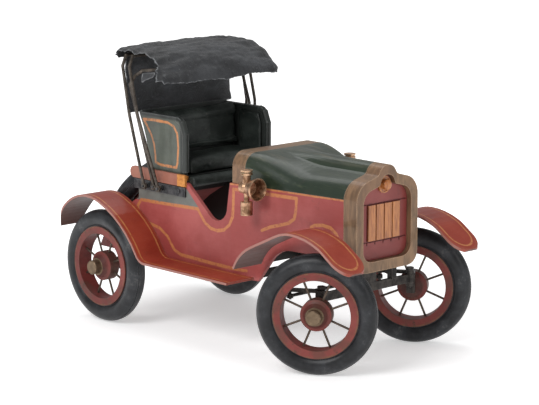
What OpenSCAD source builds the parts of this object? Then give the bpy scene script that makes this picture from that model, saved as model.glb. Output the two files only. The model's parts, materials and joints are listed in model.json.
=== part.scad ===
// Child's pedal car with a tub seat, wire wheels and a folding canvas top.
// +X is the front of the car, +Y its left side, +Z up; the car stands on Z = 0.
// The drawing below starts from the rear axle, with heights from the floor under a
// standard wheel; in_place() moves each piece to the middle of the car's length.

/* [Wheels] */
// Outer diameter of every tyre
wheel_d = 254; // [220:1:300]
// Width of a tyre
tyre_w = 41; // [34:1:46]
// Outer diameter of the rim flanges
rim_d = 180; // [160:1:190]
// Clear diameter inside the rim
rim_bore_d = 147; // [120:1:150]
// Number of wire spokes in a wheel
spoke_count = 8; // [6:1:12]
// Diameter of a wire spoke
spoke_d = 4.8; // [3:0.2:6]
// Diameter of the hub barrel where the spokes meet it
hub_d = 66; // [54:1:74]
// Diameter of the hub cap
cap_d = 32; // [26:1:36]
// Length of the hub cap
cap_len = 16; // [10:1:22]

/* [Layout] */
// Distance between the front and the rear axle
wheelbase = 634; // [600:1:700]
// Distance from the body's side to a rear wheel's middle plane
rear_out = 59.5; // [57:0.5:70]
// Distance from the body's side to a kingpin
kingpin_out = 2; // [0:0.5:10]
// Distance from a kingpin to its wheel's middle plane
hub_offset = 44.6; // [43:0.2:52]
// Angle at which the front wheels stand, to the left
steer_rest = 34; // [0:1:34]

/* [Body] */
// Width of the body at the seat
body_w = 262; // [250:1:264]
// Width of the radiator
rad_w = 182; // [170:1:200]
// Height of the body's lower edge above the ground
sill_z = 150; // [140:1:156]
// Height of the line where the hood sits on the body sides
belt_z = 354; // [346:1:360]
// Height of the top of the cowl and the radiator
cowl_z = 422; // [412:1:434]
// Height of the body's top edge under the seat
seat_line_z = 325; // [318:1:330]
// Thickness of a wooden body side
side_t = 8; // [6:0.5:10]
// Thickness of the sheet of the hood
hood_t = 2.5; // [2:0.1:4]
// Rear end of the tail
tail_x = -97; // [-110:1:-90]
// Rear edge of the cowl
cowl_x = 355; // [350:1:362]
// Width of the cowl band along the car
cowl_band = 40; // [30:1:50]
// Depth of the radiator shell
rad_depth = 38; // [30:1:44]
// Distance from the front axle forward to the back face of the radiator shell
rad_ahead = 21; // [16:1:30]

/* [Fenders] */
// Thickness of the fender and running board strip
fender_t = 5; // [4:0.5:7]
// Width of the fender strip
fender_w = 80; // [70:1:84]
// Height of the running board's top
board_z = 160; // [158:1:166]

/* [Seat] */
// Height of the seat board's underside
seat_z = 338; // [334:1:344]
// Thickness of the seat board
seat_board_t = 10; // [8:1:12]
// Height of the top edge of the tub
tub_z = 476; // [460:1:490]
// Distance the tub stands in from the body's side
tub_in = 3; // [2:1:8]
// Thickness of the tub wall
tub_t = 10; // [8:1:12]
// Thickness of the seat cushion
cushion_t = 32; // [26:1:38]

/* [Folding top] */
// Diameter of the bows
bow_d = 7; // [6:0.5:8]
// Height of the bow pivots
bow_pivot_z = 314; // [311:1:316]
// Distance from the body's side to the uprights of the outer bows
bow_out = 44.5; // [42:0.5:48]
// Distance the roof reaches out past the uprights
roof_over = 10.5; // [8:0.5:14]
// Height of the roof's crown
roof_z = 632; // [620:1:645]
// Height by which the roof's crown stands above its side edges
roof_crown = 20; // [10:1:26]
// Thickness of the canvas solid
canvas_t = 4; // [3:0.5:5]

/* [Axles and steering] */
// Diameter of the rear axle
axle_d = 14; // [12:1:16]
// Throw of the pedal cranks
crank_throw = 32; // [26:1:34]
// Diameter of the stub axles
stub_d = 12; // [10:1:14]
// Diameter of a kingpin
kingpin_d = 8; // [7:0.5:9]
// Length of a steering arm
arm_len = 66; // [60:1:70]
// Diameter of the steering column
column_d = 12; // [10:1:14]
// Diameter of the steering wheel
steering_wheel_d = 124; // [110:1:130]

/* [Fits] */
// Radial clearance of a running fit
run_fit = 0.05; // [0.02:0.01:0.1]
// Gap between pieces that are fixed to each other
seat_gap = 0.2; // [0.1:0.05:0.3]
// Gap between pieces that move past each other
free_gap = 0.6; // [0.5:0.1:1.2]
// Clearance in a pivot of a linkage that is left open
open_fit = 0.3; // [0.2:0.05:0.5]

/* [Hidden] */
$fn = 64;
wheel_r = wheel_d / 2;
rim_r = rim_d / 2;
rim_in_r = rim_bore_d / 2;
rim_wall = 3.2;
rim_w = tyre_w - 5;
hub_r = hub_d / 2;
hub_in = 20;
hub_out = 26;
stub_r = stub_d / 2;
axle_r = axle_d / 2;
body_y = body_w / 2;
rad_y = rad_w / 2;
inner_y = body_y - side_t;
rad_x = wheelbase + rad_ahead;
rad_front = rad_x + rad_depth;
hood_x = cowl_x + cowl_band;
fender_in = body_y + 1;
fender_out = fender_in + fender_w;
rear_y = body_y + rear_out;
kingpin_y = body_y + kingpin_out;
kingpin_span = 2 * kingpin_y;
bow_y = body_y + bow_out;
roof_y = bow_y + roof_over;
// Height of the axles in the drawing
axle_z = 127;
pin_r = kingpin_d / 2;

// ---- helpers ----

// Moves a piece from the drawing to its place over the middle of the car's length
module in_place() translate([-mid_x, 0, wheel_r - axle_z]) children();

// Points on an arc about c from angle a0 to a1
function arc(c, r, a0, a1, n = 12) =
    [for (i = [0:n]) let (a = a0 + (a1 - a0) * i / n) [c[0] + r * cos(a), c[1] + r * sin(a)]];

// A path that starts at p with heading h; a step is [length] or [radius, turn], left turns positive
function walk(p, h, steps, k = 0) =
    k == len(steps) ? [] :
    let (s = steps[k], turn = len(s) == 2)
    let (side = turn ? sign(s[1]) : 1, r = s[0],
         c = turn ? p + r * side * [-sin(h), cos(h)] : p,
         n = turn ? max(2, ceil(abs(s[1]) / 7)) : 1,
         pts = turn ? [for (i = [1:n]) let (a = h + s[1] * i / n) c - r * side * [-sin(a), cos(a)]]
                    : [p + r * [cos(h), sin(h)]],
         q = pts[len(pts) - 1])
    concat(pts, walk(q, turn ? h + s[1] : h, steps, k + 1));

function unit(v) = v / norm(v);
function normal_at(p, i) =
    let (a = p[max(i - 1, 0)], b = p[min(i + 1, len(p) - 1)], d = unit(b - a)) [-d[1], d[0]];
// Outline of a strip of thickness t that lies below the path p
function strip(p, t) =
    concat(p, [for (j = [0:len(p) - 1]) let (i = len(p) - 1 - j) p[i] - t * normal_at(p, i)]);

// Extrudes an X-Z outline from y0 to y1
module along_y(y0, y1) translate([0, y1, 0]) rotate([90, 0, 0]) linear_extrude(y1 - y0) children();
// Extrudes a Y-Z outline from x0 to x1
module along_x(x0, x1) translate([x0, 0, 0]) rotate([90, 0, 90]) linear_extrude(x1 - x0) children();
// Places the right-hand piece, or its mirror image on the left
module on_side(s) { if (s < 0) children(); else mirror([0, 1, 0]) children(); }
module both_sides() { children(); mirror([0, 1, 0]) children(); }
// Rod between two points
module rod(a, b, r, fn = 24) {
    d = b - a;
    translate(a) rotate([0, acos(d[2] / norm(d)), atan2(d[1], d[0])])
        cylinder(h = norm(d), r = r, $fn = fn);
}
// Bent rod through a list of points, with a slightly proud ball at each bend
module bent_rod(pts, r) {
    for (i = [0:len(pts) - 2]) rod(pts[i], pts[i + 1], r);
    for (i = [1:len(pts) - 2]) translate(pts[i]) sphere(r = bend_r * r, $fn = 24);
}
bend_r = 1.04;
// Cylinder along Y from y0 to y1
module pin_y(x, z, y0, y1, r) translate([x, y1, z]) rotate([90, 0, 0]) cylinder(h = y1 - y0, r = r);

// ---- wheels: local Z is the wheel's axis and points outwards ----

module at_rear(s) translate([0, s * rear_y, axle_z]) rotate([-90 * s, 0, 0]) children();
module at_kingpin(s) translate([wheelbase, s * kingpin_y, 0]) rotate([0, 0, steer_rest]) children();
module at_front(s) at_kingpin(s) translate([0, s * hub_offset, axle_z]) rotate([-90 * s, 0, 0]) children();
spare_c = [-24, 0, 280];
spare_tilt = 46;
module at_spare() translate(spare_c) rotate([0, -spare_tilt, 0]) children();

section_r = tyre_w / 2;
groove_w = 2.6;
groove_d = 2.4;
// The floor and the two flanges of the rim, which a low tyre is moulded around
module rim_room() {
    flange_z = rim_w / 2 - rim_wall - seat_gap;
    translate([0, -tyre_w]) square([rim_in_r + rim_wall + seat_gap, 2 * tyre_w]);
    for (z = [-tyre_w, flange_z]) translate([0, z]) square([rim_r + seat_gap, tyre_w - flange_z]);
}
module tyre() color("#3b3f45") difference() {
    rotate_extrude() difference() {
        union() {
            translate([wheel_r - section_r, 0]) circle(r = section_r);
            translate([rim_in_r + rim_wall + seat_gap, -rim_w / 2 + rim_wall + seat_gap])
                square([wheel_r - section_r - rim_in_r, rim_w - 2 * (rim_wall + seat_gap)]);
        }
        rim_room();
    }
    for (z = [-7, 7]) translate([0, 0, z - groove_w / 2]) difference() {
        cylinder(h = groove_w, r = wheel_r + 1);
        translate([0, 0, -1]) cylinder(h = groove_w + 2, r = wheel_r - groove_d);
    }
}
module rim() color("#9a4038") {
    rotate_extrude() difference() {
        translate([rim_in_r, -rim_w / 2]) square([rim_r - rim_in_r, rim_w]);
        translate([rim_in_r + rim_wall, -rim_w / 2 + rim_wall]) square([rim_r, rim_w - 2 * rim_wall]);
    }
    for (i = [0:spoke_count - 1]) rotate([0, 0, (i + 0.5) * 360 / spoke_count])
        rotate([0, 90, 0]) translate([0, 0, hub_r + seat_gap])
            cylinder(h = rim_in_r - hub_r + rim_wall / 2, r = spoke_d / 2, $fn = 16);
}
// Hub barrel with a tapered nose and a turned cap; bore is the radius of its hole
module hub(bore, inner = hub_in) color("#7d2f2b") difference() {
    rotate_extrude() polygon(concat(
        [[0, -inner], [hub_r - 9, -inner], [hub_r, -inner + 8], [hub_r, 12]],
        [[hub_r - 7, 16], [cap_d / 2 + 3, hub_out], [cap_d / 2, hub_out]],
        [[cap_d / 2, hub_out + cap_len - 2], [cap_d / 2 - 2, hub_out + cap_len], [0, hub_out + cap_len]]));
    translate([0, 0, -inner - 1]) cylinder(h = inner + hub_out + 1, r = bore);
}
module rear_tyre_right() in_place() at_rear(-1) tyre();
module rear_tyre_left() in_place() at_rear(1) tyre();
module front_tyre_right() in_place() at_front(-1) tyre();
module front_tyre_left() in_place() at_front(1) tyre();
module spare_tyre() in_place() at_spare() tyre();
module rear_rim_right() in_place() at_rear(-1) rim();
module rear_rim_left() in_place() at_rear(1) rim();
module front_rim_right() in_place() at_front(-1) rim();
module front_rim_left() in_place() at_front(1) rim();
module spare_rim() in_place() at_spare() rim();
module rear_hub_right() in_place() at_rear(-1) hub(axle_r + run_fit);
module rear_hub_left() in_place() at_rear(1) hub(axle_r + run_fit);
module front_hub_right() in_place() at_front(-1) hub(stub_r + run_fit);
module front_hub_left() in_place() at_front(1) hub(stub_r + run_fit);
module spare_hub() in_place() at_spare() hub(carrier_r + run_fit);

// ---- body ----

// Half width of the body's outside at a place along the car
function half_w(x) = x < cowl_x ? body_y
    : body_y + (rad_y - body_y) * min(1, (x - cowl_x) / (rad_x - cowl_x));
tail_top = [48, 281];
door_c = [309, 300];
door_r = 34;
arch_z = 228;
arch_x = wheelbase - 204;
arch_top_x = wheelbase - 114;
rad_low = 205;
tail_curve = walk(tail_top, 210, [[14, -2], [20], [330, 30]]);
// Outline of a body side, seen from the car's right
function side_outline() = concat(
    [[tail_x + 4, sill_z]],
    [for (i = [len(tail_curve) - 2:-1:0]) tail_curve[i]],
    [tail_top, [tail_top[0], seat_line_z], [194, seat_line_z]],
    arc([209, seat_line_z - 4], 14, 150, 45, 8),
    arc(door_c, door_r, 227, 360, 16),
    [[cowl_x - 3, belt_z], [rad_x, belt_z], [rad_x, rad_low], [rad_x - 26, rad_low], [rad_x - 30, arch_z]],
    walk([arch_top_x, arch_z], 180, [[66, 50]]),
    [[arch_x, sill_z]]);
// Strip in plan that a body side fills, t inside the outer face
module side_plan(t) polygon([
    [tail_x - 20, -body_y], [cowl_x, -body_y], [rad_x, -rad_y], [rad_x, -rad_y + t],
    [cowl_x, -body_y + t], [tail_x - 20, -body_y + t]]);
module body_side() color("#a5524c") intersection() {
    along_y(-body_y - 1, 0) polygon(side_outline());
    translate([0, 0, sill_z - 1]) linear_extrude(cowl_z) side_plan(side_t);
}
module body_side_right() in_place() body_side();
module body_side_left() in_place() on_side(1) body_side();

deck_t = 5;
deck_y = inner_y - seat_gap;
deck_line = [for (p = concat([[98, seat_z - 13], tail_top], tail_curve)) p - [0, 1]];
module tail_deck() in_place() color("#93403a")
    along_y(-deck_y, deck_y) polygon(strip(deck_line, -deck_t));

rail_w = 14;
rail_h = 15;
rail_end = arch_x - 8;
// Half the clear width between the body sides
function in_face(x) = half_w(x) - side_t - seat_gap;
function rail_xs(k) = k == 0 ? [tail_x + 22, cowl_x, rail_end] : [rail_end, cowl_x, tail_x + 22];
front_cross = [wheelbase - 28, 44];
front_cross_z = 203;
front_cross_h = 12;
module chassis_frame() in_place() color("#6e2f2a") {
    translate([0, 0, sill_z + 1]) linear_extrude(rail_h) {
        both_sides() polygon([for (k = [0, rail_w]) for (x = rail_xs(k)) [x, k - in_face(x)]]);
        for (x = [tail_x + 22, arch_x - 130, arch_x - 30])
            translate([x, 1 - in_face(x + rail_w)]) square([rail_w, 2 * in_face(x + rail_w) - 2]);
    }
    difference() {
        translate([front_cross[0], -body_y, front_cross_z])
            cube([front_cross[1], 2 * body_y, front_cross_h]);
        both_sides() linear_extrude(cowl_z) polygon([
            [cowl_x, -body_y - 1], [cowl_x, -body_y + side_t + seat_gap],
            [rad_x, -rad_y + side_t + seat_gap], [rad_x, -body_y - 1]]);
    }
}

cowl_corner = 32;
cowl_wall = 10;
// Rounded arch of the cowl in the Y-Z plane
module arch_2d(w, top, r, low) polygon(concat(
    [[-w, low]], arc([-w + r, top - r], r, 180, 90, 10), arc([w - r, top - r], r, 90, 0, 10), [[w, low]]));
module cowl_band_top() in_place() color("#8a7355") along_x(cowl_x, hood_x - seat_gap) difference() {
    arch_2d(half_w(hood_x), cowl_z, cowl_corner, belt_z + seat_gap);
    arch_2d(half_w(hood_x) - cowl_wall, cowl_z - cowl_wall, cowl_corner - 6, belt_z - 5);
}

// Height of the flat cowl and of the humped radiator top, at a distance y from the middle
hump_r = 27;
function round_off(r, d) = sqrt(max(0, r * r - d * d)) - r;
function cowl_top(y, w, top) = top + (y < w - cowl_corner ? 0 : round_off(cowl_corner, y - w + cowl_corner));
function rad_top(y, w, top) = let (s = w / 91, u = y / s)
    u < 24.5 ? top - hump_r + sqrt(pow(hump_r, 2) - u * u) :
    u < 33.6 ? top - 9.7 - sqrt(max(0, 196 - pow(u - 37.2, 2))) :
    u < 58.4 ? top - 23.3 - (u - 33.6) * 0.265 :
    top - 72.4 + sqrt(max(0, 1936 - pow(u - 47, 2)));
function smooth(t) = let (c = max(0, min(1, t))) c * c * (3 - 2 * c);
hood_n = 26;
scuttle_len = 150;
function hood_ring(x, inset) =
    let (w = half_w(x) - inset, f = smooth((x - hood_x) / scuttle_len))
    [for (i = [-hood_n:hood_n]) let (a = 90 * i / hood_n, y = w * sin(a), u = abs(y),
        z = (1 - f) * cowl_top(u, w, cowl_z - inset) + f * rad_top(u, w, cowl_z - inset),
        rise = hood_n - abs(i), low = belt_z + seat_gap + rise * 0.4)
        [x, y, rise == 0 ? low : max(z, low)]];
hood_steps = 18;
// Skin of the hood as rings of outer points followed by the inner ones
module hood() in_place() color("#2f3d35") {
    m = 2 * hood_n + 1;
    xs = [for (k = [0:hood_steps]) hood_x + (rad_x - hood_x - seat_gap) * k / hood_steps];
    rings = [for (x = xs) concat(hood_ring(x, 0), [for (i = [m - 1:-1:0]) hood_ring(x, hood_t)[i]])];
    n = 2 * m;
    pts = [for (r = rings) for (p = r) p];
    walls = [for (k = [0:hood_steps - 1]) for (i = [0:n - 1])
        [k * n + i, k * n + (i + 1) % n, (k + 1) * n + (i + 1) % n, (k + 1) * n + i]];
    caps = concat(
        [for (i = [0:m - 2]) [i, n - 1 - i, n - 2 - i, i + 1]],
        [for (i = [0:m - 2]) let (b = hood_steps * n) [b + i, b + i + 1, b + n - 2 - i, b + n - 1 - i]]);
    polyhedron(pts, concat(walls, caps), convexity = 6);
}

// ---- radiator ----

// Right half of the radiator's outline, from the top of the hump down to the bottom
function rad_half(w, hump, knee, dip, shoulder, flat, low, corner, top) = walk([0, top], 0, [
    [hump, -knee], [dip, knee - 15], [flat], [shoulder, -75],
    [top - low - corner - rad_drop(hump, knee, dip, flat, shoulder)], [corner, -82], [6]]);
function rad_drop(hump, knee, dip, flat, shoulder) =
    let (p = walk([0, 0], 0, [[hump, -knee], [dip, knee - 15], [flat], [shoulder, -75]])) -p[len(p) - 1][1];
function rad_reach(hump, knee, dip, shoulder) =
    let (p = walk([0, 0], 0, [[hump, -knee], [dip, knee - 15], [shoulder, -75]])) p[len(p) - 1][0];
function rad_outline(w, hump, knee, dip, shoulder, low, corner, top) =
    let (flat = (w - rad_reach(hump, knee, dip, shoulder)) / cos(15),
         h = rad_half(w, hump, knee, dip, shoulder, flat, low, corner, top))
    concat([[0, top]], h, [for (i = [len(h) - 1:-1:0]) [-h[i][0], h[i][1]]]);
rad_bottom = 201;
rad_flange = 20;
panel_depth = 12.5;
panel_t = 6;
module rad_opening_2d(inset = 0) polygon(rad_outline(rad_y - rad_flange - inset, 22 - inset, 78, 7 + inset,
    31 - inset, rad_bottom + 22 + inset, 24 - inset, cowl_z - 21 - inset));
module radiator_shell() in_place() color("#86694c") difference() {
    along_x(rad_x + seat_gap, rad_front)
        polygon(rad_outline(rad_y, hump_r, 65, 14, 44, rad_bottom, 28, cowl_z));
    along_x(rad_x - 1, rad_front + 1) rad_opening_2d();
}
panel_x = rad_front - panel_depth;
bar_w = 21;
bar_pitch = 24;
bar_count = 4;
bar_low = 263;
bar_high = 340;
bar_y0 = -bar_pitch * bar_count / 2;
frame_groove = 2.4;
module radiator_panel() in_place() color("#a04a44") difference() {
    along_x(panel_x - panel_t, panel_x) rad_opening_2d(seat_gap);
    for (z = [bar_low - frame_groove, bar_high])
        translate([panel_x - 2.5, -66, z]) cube([4, 132, frame_groove]);
    for (i = [0:bar_count])
        translate([panel_x - 2.5, bar_y0 + i * bar_pitch - frame_groove / 2, bar_low - 8])
        cube([4, frame_groove, bar_high - bar_low + 8]);
}
module grille_bars() in_place() color("#c8842f") for (i = [0:bar_count - 1])
    translate([panel_x + seat_gap, bar_y0 + (i + 0.5) * bar_pitch - bar_w / 2, bar_low + 1])
        cube([3, bar_w, bar_high - bar_low - 2]);
badge_z = 379;
module radiator_badge() in_place() color("#c57a30")
    translate([panel_x + seat_gap, 0, badge_z]) rotate([0, 90, 0]) {
    difference() {
        cylinder(h = 4, r = 18);
        translate([0, 0, 2]) cylinder(h = 3, r = 15);
    }
    cylinder(h = 12, r = 11);
    translate([0, 0, 12]) scale([1, 1, 0.45]) sphere(r = 11);
}

// ---- seat ----

rail_out = body_y + 6;
seat_rail_t = rail_out - body_y - seat_gap;
seat_front_x = 212;
module seat_base() in_place() color("#b5664f") {
    both_sides() translate([26, -rail_out, seat_line_z + 1.5]) hull() {
        translate([13, seat_rail_t, 13]) rotate([90, 0, 0]) cylinder(h = seat_rail_t, r = 13, $fn = 32);
        translate([seat_front_x - 38, 0, 0]) cube([12, seat_rail_t, 26]);
    }
    translate([86, -rail_out + 1, seat_z]) cube([seat_front_x - 95, 2 * rail_out - 2, seat_board_t]);
}
tub_base = seat_z + seat_board_t + seat_gap;
tub_y = body_y - tub_in;
tub_back = walk([48, tub_z], -62, [[337, -22]]);
tub_rear = [for (p = tub_back) if (p[1] > tub_base + 4) p];
// Outline of the tub's side
function tub_outline() = concat(
    [[90, tub_base]], [[200, tub_base]],
    [[201, 400]], arc([177, tub_z - 18], 18, 10, 90, 6), [[48, tub_z]], tub_rear);
module seat_tub() in_place() color("#5f6b62") {
    both_sides() along_y(-tub_y, -tub_y + tub_t) polygon(tub_outline());
    along_y(-tub_y + 1, tub_y - 1)
        polygon(strip(concat([[48, tub_z]], tub_rear, [[89, tub_base]]), -9));
    both_sides() translate([0, -tub_y + tub_t / 2, 0])
        bent_rod([[200, 0, tub_base + 8], [200, 0, 440], [190, 0, 464], [174, 0, tub_z - 5]], 7.5);
}
pad_gap = 0.5;
inner_tub = tub_y - tub_t - pad_gap;
arm_pad_t = 6;
module arm_pads() in_place() color("#23272a") both_sides()
    along_y(-inner_tub, -inner_tub + arm_pad_t) polygon([
        [115, tub_base + 1], [190, tub_base + 1], [190, 440], [180, 462], [117, 468], [110, 440]]);
pad_y = inner_tub - arm_pad_t - pad_gap;
cushion_z = tub_base + 1;
module back_pad() in_place() color("#1f2326") along_y(-inner_tub, inner_tub) difference() {
    polygon(concat(
        [[100, cushion_z + cushion_t + 2], [113, cushion_z + cushion_t + 2], [103, 440]],
        arc([84, tub_z - 16], 21, -30, 120, 12),
        [[66, tub_z - 4], [72, 452], [90, 410]]));
    translate([103.5, 400]) square([20, 48]);
}
module seat_cushion() in_place() color("#202427") translate([99, -pad_y, cushion_z])
    cube([104, 2 * pad_y, cushion_t]);
roll_r = 13;
module seat_roll() in_place() color("#23282a")
    pin_y(seat_front_x + 4, seat_line_z + 12, -inner_y + seat_gap, inner_y - seat_gap, roll_r);

// ---- fenders ----

board_end = wheelbase - 205;
rear_fender_c = [-38, 165];
rear_fender_r = wheel_r - 7;
rear_slope_r = wheel_r + 123;
rear_crown = arc(rear_fender_c, rear_fender_r, 164, 70, 18);
rear_slope = walk(rear_crown[18], -20, [[5], [rear_slope_r, -38]]);
rear_slope_end = rear_slope[len(rear_slope) - 1];
// The fillet that meets the running board
board_fillet = (rear_slope_end[1] - board_z) / (1 - cos(58));
rear_path = concat(rear_crown, rear_slope, walk(rear_slope_end, -58, [[board_fillet, 58]]));
leg_angle = 65;
leg_base = 87;
front_leg = (wheel_r - leg_base) / sin(leg_angle);
front_path = walk([board_end, board_z - 4], leg_angle,
    [[front_leg], [110, -40], [84], [110, -25], [190, -24], [90, -10], [72]]);
front_tip_x = front_path[len(front_path) - 1][0];
mid_x = (rear_crown[0][0] + front_tip_x + seat_gap) / 2;
tip_r = 34;
// Plan of a fender strip with its free corners rounded
module strip_plan(x0, x1, round_low, round_high) {
    cut_low = round_low ? tip_r : 0;
    cut_high = round_high ? tip_r : 0;
    translate([x0 + cut_low, -fender_out]) square([x1 - x0 - cut_low - cut_high, fender_w]);
    translate([x0, -fender_out + tip_r]) square([x1 - x0, fender_w - 2 * tip_r]);
    for (y = [-fender_out + tip_r, -fender_in - tip_r]) {
        if (round_low) translate([x0 + tip_r, y]) circle(r = tip_r);
        if (round_high) translate([x1 - tip_r, y]) circle(r = tip_r);
    }
}
module rear_fender() color("#a23f30") intersection() {
    along_y(-fender_out, -fender_in) polygon(strip(concat(rear_path, [[board_end, board_z]]), fender_t));
    translate([0, 0, sill_z - 10]) linear_extrude(300)
        strip_plan(rear_path[0][0] - 4, board_end, true, false);
}
module front_fender() color("#a23f30") intersection() {
    along_y(-fender_out, -fender_in) polygon(strip(front_path, fender_t));
    translate([0, 0, sill_z - 10]) linear_extrude(300)
        strip_plan(board_end - 1, front_tip_x, false, true);
}
module rear_fender_right() in_place() rear_fender();
module rear_fender_left() in_place() on_side(1) rear_fender();
module front_fender_right() in_place() translate([seat_gap, 0, 0]) front_fender();
module front_fender_left() in_place() translate([seat_gap, 0, 0]) on_side(1) front_fender();
stay_t = 3;
stay_w = 12;
// Angle iron from the body side up to the underside of a fender whose top is at z1
module stay(x, z0, z1) {
    w = half_w(x - stay_w / 2) + seat_gap;
    under = z1 - fender_t - 2 * seat_gap;
    along_x(x - stay_w / 2, x + stay_w / 2) polygon([
        [-w, z0], [-w, z0 + 16], [-w - stay_t, z0 + 16 + stay_t], [-fender_in - 12, under],
        [-fender_in - 34, under], [-fender_in - 34, under - stay_t],
        [-fender_in - 12 - stay_t, under - stay_t], [-w - stay_t, z0 + 12], [-w - stay_t, z0]]);
}
module fender_stays() in_place() color("#2b2b2b") both_sides() {
    for (x = [arch_x - 256, arch_x - 78])
        translate([x, -fender_out + 8, board_z - fender_t - seat_gap - stay_t])
        cube([stay_w, fender_w - 8 + 1, stay_t]);
    stay(-38, 200, rear_fender_c[1] + rear_fender_r);
    stay(wheelbase - 34, 252, lookup(wheelbase - 34 - stay_w / 2, front_path));
}

// ---- front axle and steering ----

beam_low = 143;
beam_h = 18;
beam_t = 8;
eye_r = 10;
post_y = 84;
module front_axle() in_place() color("#565350") difference() {
    union() {
        translate([wheelbase - beam_t / 2, -kingpin_y, beam_low]) cube([beam_t, kingpin_span, beam_h]);
        both_sides() translate([wheelbase, -kingpin_y, beam_low]) cylinder(h = beam_h, r = eye_r);
        both_sides() translate([wheelbase - 7, -post_y, beam_low + beam_h - 1])
            cube([14, 14, front_cross_z - beam_low - beam_h + 1 - seat_gap]);
        translate([wheelbase - 7, -22, beam_low + beam_h - 1])
            cube([14, 44, front_cross_z - beam_low - beam_h + 1 - seat_gap]);
    }
    both_sides() translate([wheelbase, -kingpin_y, beam_low - 1])
        cylinder(h = beam_h + 2, r = pin_r + run_fit);
}
lug_t = 7;
lug_low = beam_low - free_gap - lug_t;
lug_high = beam_low + beam_h + free_gap;
module kingpins() in_place() color("#4b4845") both_sides() translate([wheelbase, -kingpin_y, 0]) {
    translate([0, 0, lug_low - 4]) cylinder(h = lug_high + lug_t + 5 - lug_low, r = pin_r);
    translate([0, 0, lug_high + lug_t + open_fit]) cylinder(h = 7, r = 9, $fn = 6);
}
plate_y = eye_r + 1;
plate_t = 7;
arm_pin_r = 3;
rod_z = 152;
// Steering knuckle about its kingpin; s is -1 on the right and 1 on the left
module knuckle(s) color("#4a4744") difference() {
    union() {
        for (z = [lug_low, lug_high]) {
            translate([0, 0, z]) cylinder(h = lug_t, r = 9);
            translate([-9, s > 0 ? 0 : -plate_y - plate_t, z]) cube([18, plate_y + plate_t, lug_t]);
        }
        translate([-9, s > 0 ? plate_y : -plate_y - plate_t, axle_z - 11])
            cube([18, plate_t, lug_high + lug_t - axle_z + 11]);
        translate([0, s * (plate_y + 2), axle_z]) rotate([-90 * s, 0, 0])
            cylinder(h = hub_offset + hub_out - plate_y - 5, r = stub_r);
        translate([-arm_len, -5, lug_high]) cube([arm_len, 10, lug_t]);
        translate([-arm_len, 0, lug_high]) cylinder(h = lug_t, r = 7);
        translate([-arm_len, 0, rod_z - 7]) cylinder(h = lug_high - rod_z + 8, r = arm_pin_r);
    }
    translate([0, 0, lug_low - 1]) cylinder(h = lug_high + lug_t - lug_low + 2, r = pin_r + run_fit);
}
module knuckle_right() in_place() at_kingpin(-1) knuckle(-1);
module knuckle_left() in_place() at_kingpin(1) knuckle(1);
arm_dx = arm_len * cos(steer_rest);
arm_dy = arm_len * sin(steer_rest);
tie_x = wheelbase - arm_dx;
rod_r = 3.5;
fork_gap = 3.5 + open_fit;
module tie_rod() in_place() color("#3f3d3b") translate([tie_x, -arm_dy, 0]) difference() {
    union() {
        translate([0, kingpin_y, rod_z]) rotate([90, 0, 0]) cylinder(h = kingpin_span, r = rod_r);
        for (y = [-kingpin_y, kingpin_y]) translate([0, y, rod_z - 4]) cylinder(h = 8, r = 7);
        for (y = [-fork_gap - 5, fork_gap]) translate([-2, y, rod_z]) cube([4, 5, 38]);
    }
    translate([0, -kingpin_y, rod_z - 5]) cylinder(h = 10, r = arm_pin_r + run_fit);
    translate([0, kingpin_y, rod_z - 5]) cylinder(h = 10, r = arm_pin_r + open_fit);
}
// The column runs from the steering wheel down to the drop arm
column_top = [300, 0, 345];
column_low_z = 236.3;
slope = atan2(column_top[2] - column_low_z, tie_x + 6.6 - column_top[0]);
column_low = [tie_x - 1.1 + arm_dx * sin(slope) - 20 * cos(slope), 0, column_low_z];
column_tilt = atan2(column_top[2] - column_low[2], column_low[0] - column_top[0]);
column_len = norm(column_low - column_top);
column_r = column_d / 2;
// Local Z runs down along the column from its top end
module on_column() translate(column_top) rotate([0, 90 + column_tilt, 0]) children();
module steering_column() in_place() color("#454341") on_column() {
    translate([0, 0, -4]) cylinder(h = column_len + 6, r = column_r);
    translate([0, 0, column_len - 2]) rotate([0, 0, -steer_rest]) {
        translate([0, -5, 0]) cube([arm_len, 10, 6]);
        cylinder(h = 6, r = 9);
        translate([arm_len, 0, 0]) cylinder(h = 6, r = 7);
        translate([arm_len, 0, 0]) cylinder(h = 32, r = 3.5);
    }
}
wheel_rim_r = 6;
module steering_wheel() in_place() color("#3a2a20") on_column() translate([0, 0, -10]) difference() {
    union() {
        rotate_extrude() translate([steering_wheel_d / 2 - wheel_rim_r, 0]) circle(r = wheel_rim_r);
        for (a = [0:120:240]) rotate([0, 0, a - steer_rest]) translate([8, -5, -2.5])
            cube([steering_wheel_d / 2 - 16, 10, 5]);
        translate([0, 0, -7]) cylinder(h = 16, r = 14);
    }
    translate([0, 0, 5]) cylinder(h = 10, r = column_r + run_fit);
}
column_rear_x = cowl_x + 17;
column_front_x = wheelbase - 74;
function column_z(x) = column_top[2] - (x + 6 - column_top[0]) * tan(column_tilt);
module column_brackets() in_place() color("#5b3a2c") difference() {
    union() {
        translate([column_rear_x, -18, column_z(column_rear_x) - 18])
            cube([12, 36, cowl_z - cowl_wall - seat_gap - column_z(column_rear_x) + 18]);
        w = in_face(column_front_x + 12);
        translate([column_front_x, -w, column_z(column_front_x) - 14]) cube([12, 2 * w, 28]);
    }
    on_column() cylinder(h = column_len, r = column_r + run_fit);
}

// ---- rear axle and pedals ----

crank_y = 48.5;
web_t = 5;
eye_w = 7;
crank_in = crank_y - eye_w / 2 - 3 - web_t;
crank_pin_r = 5;
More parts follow.
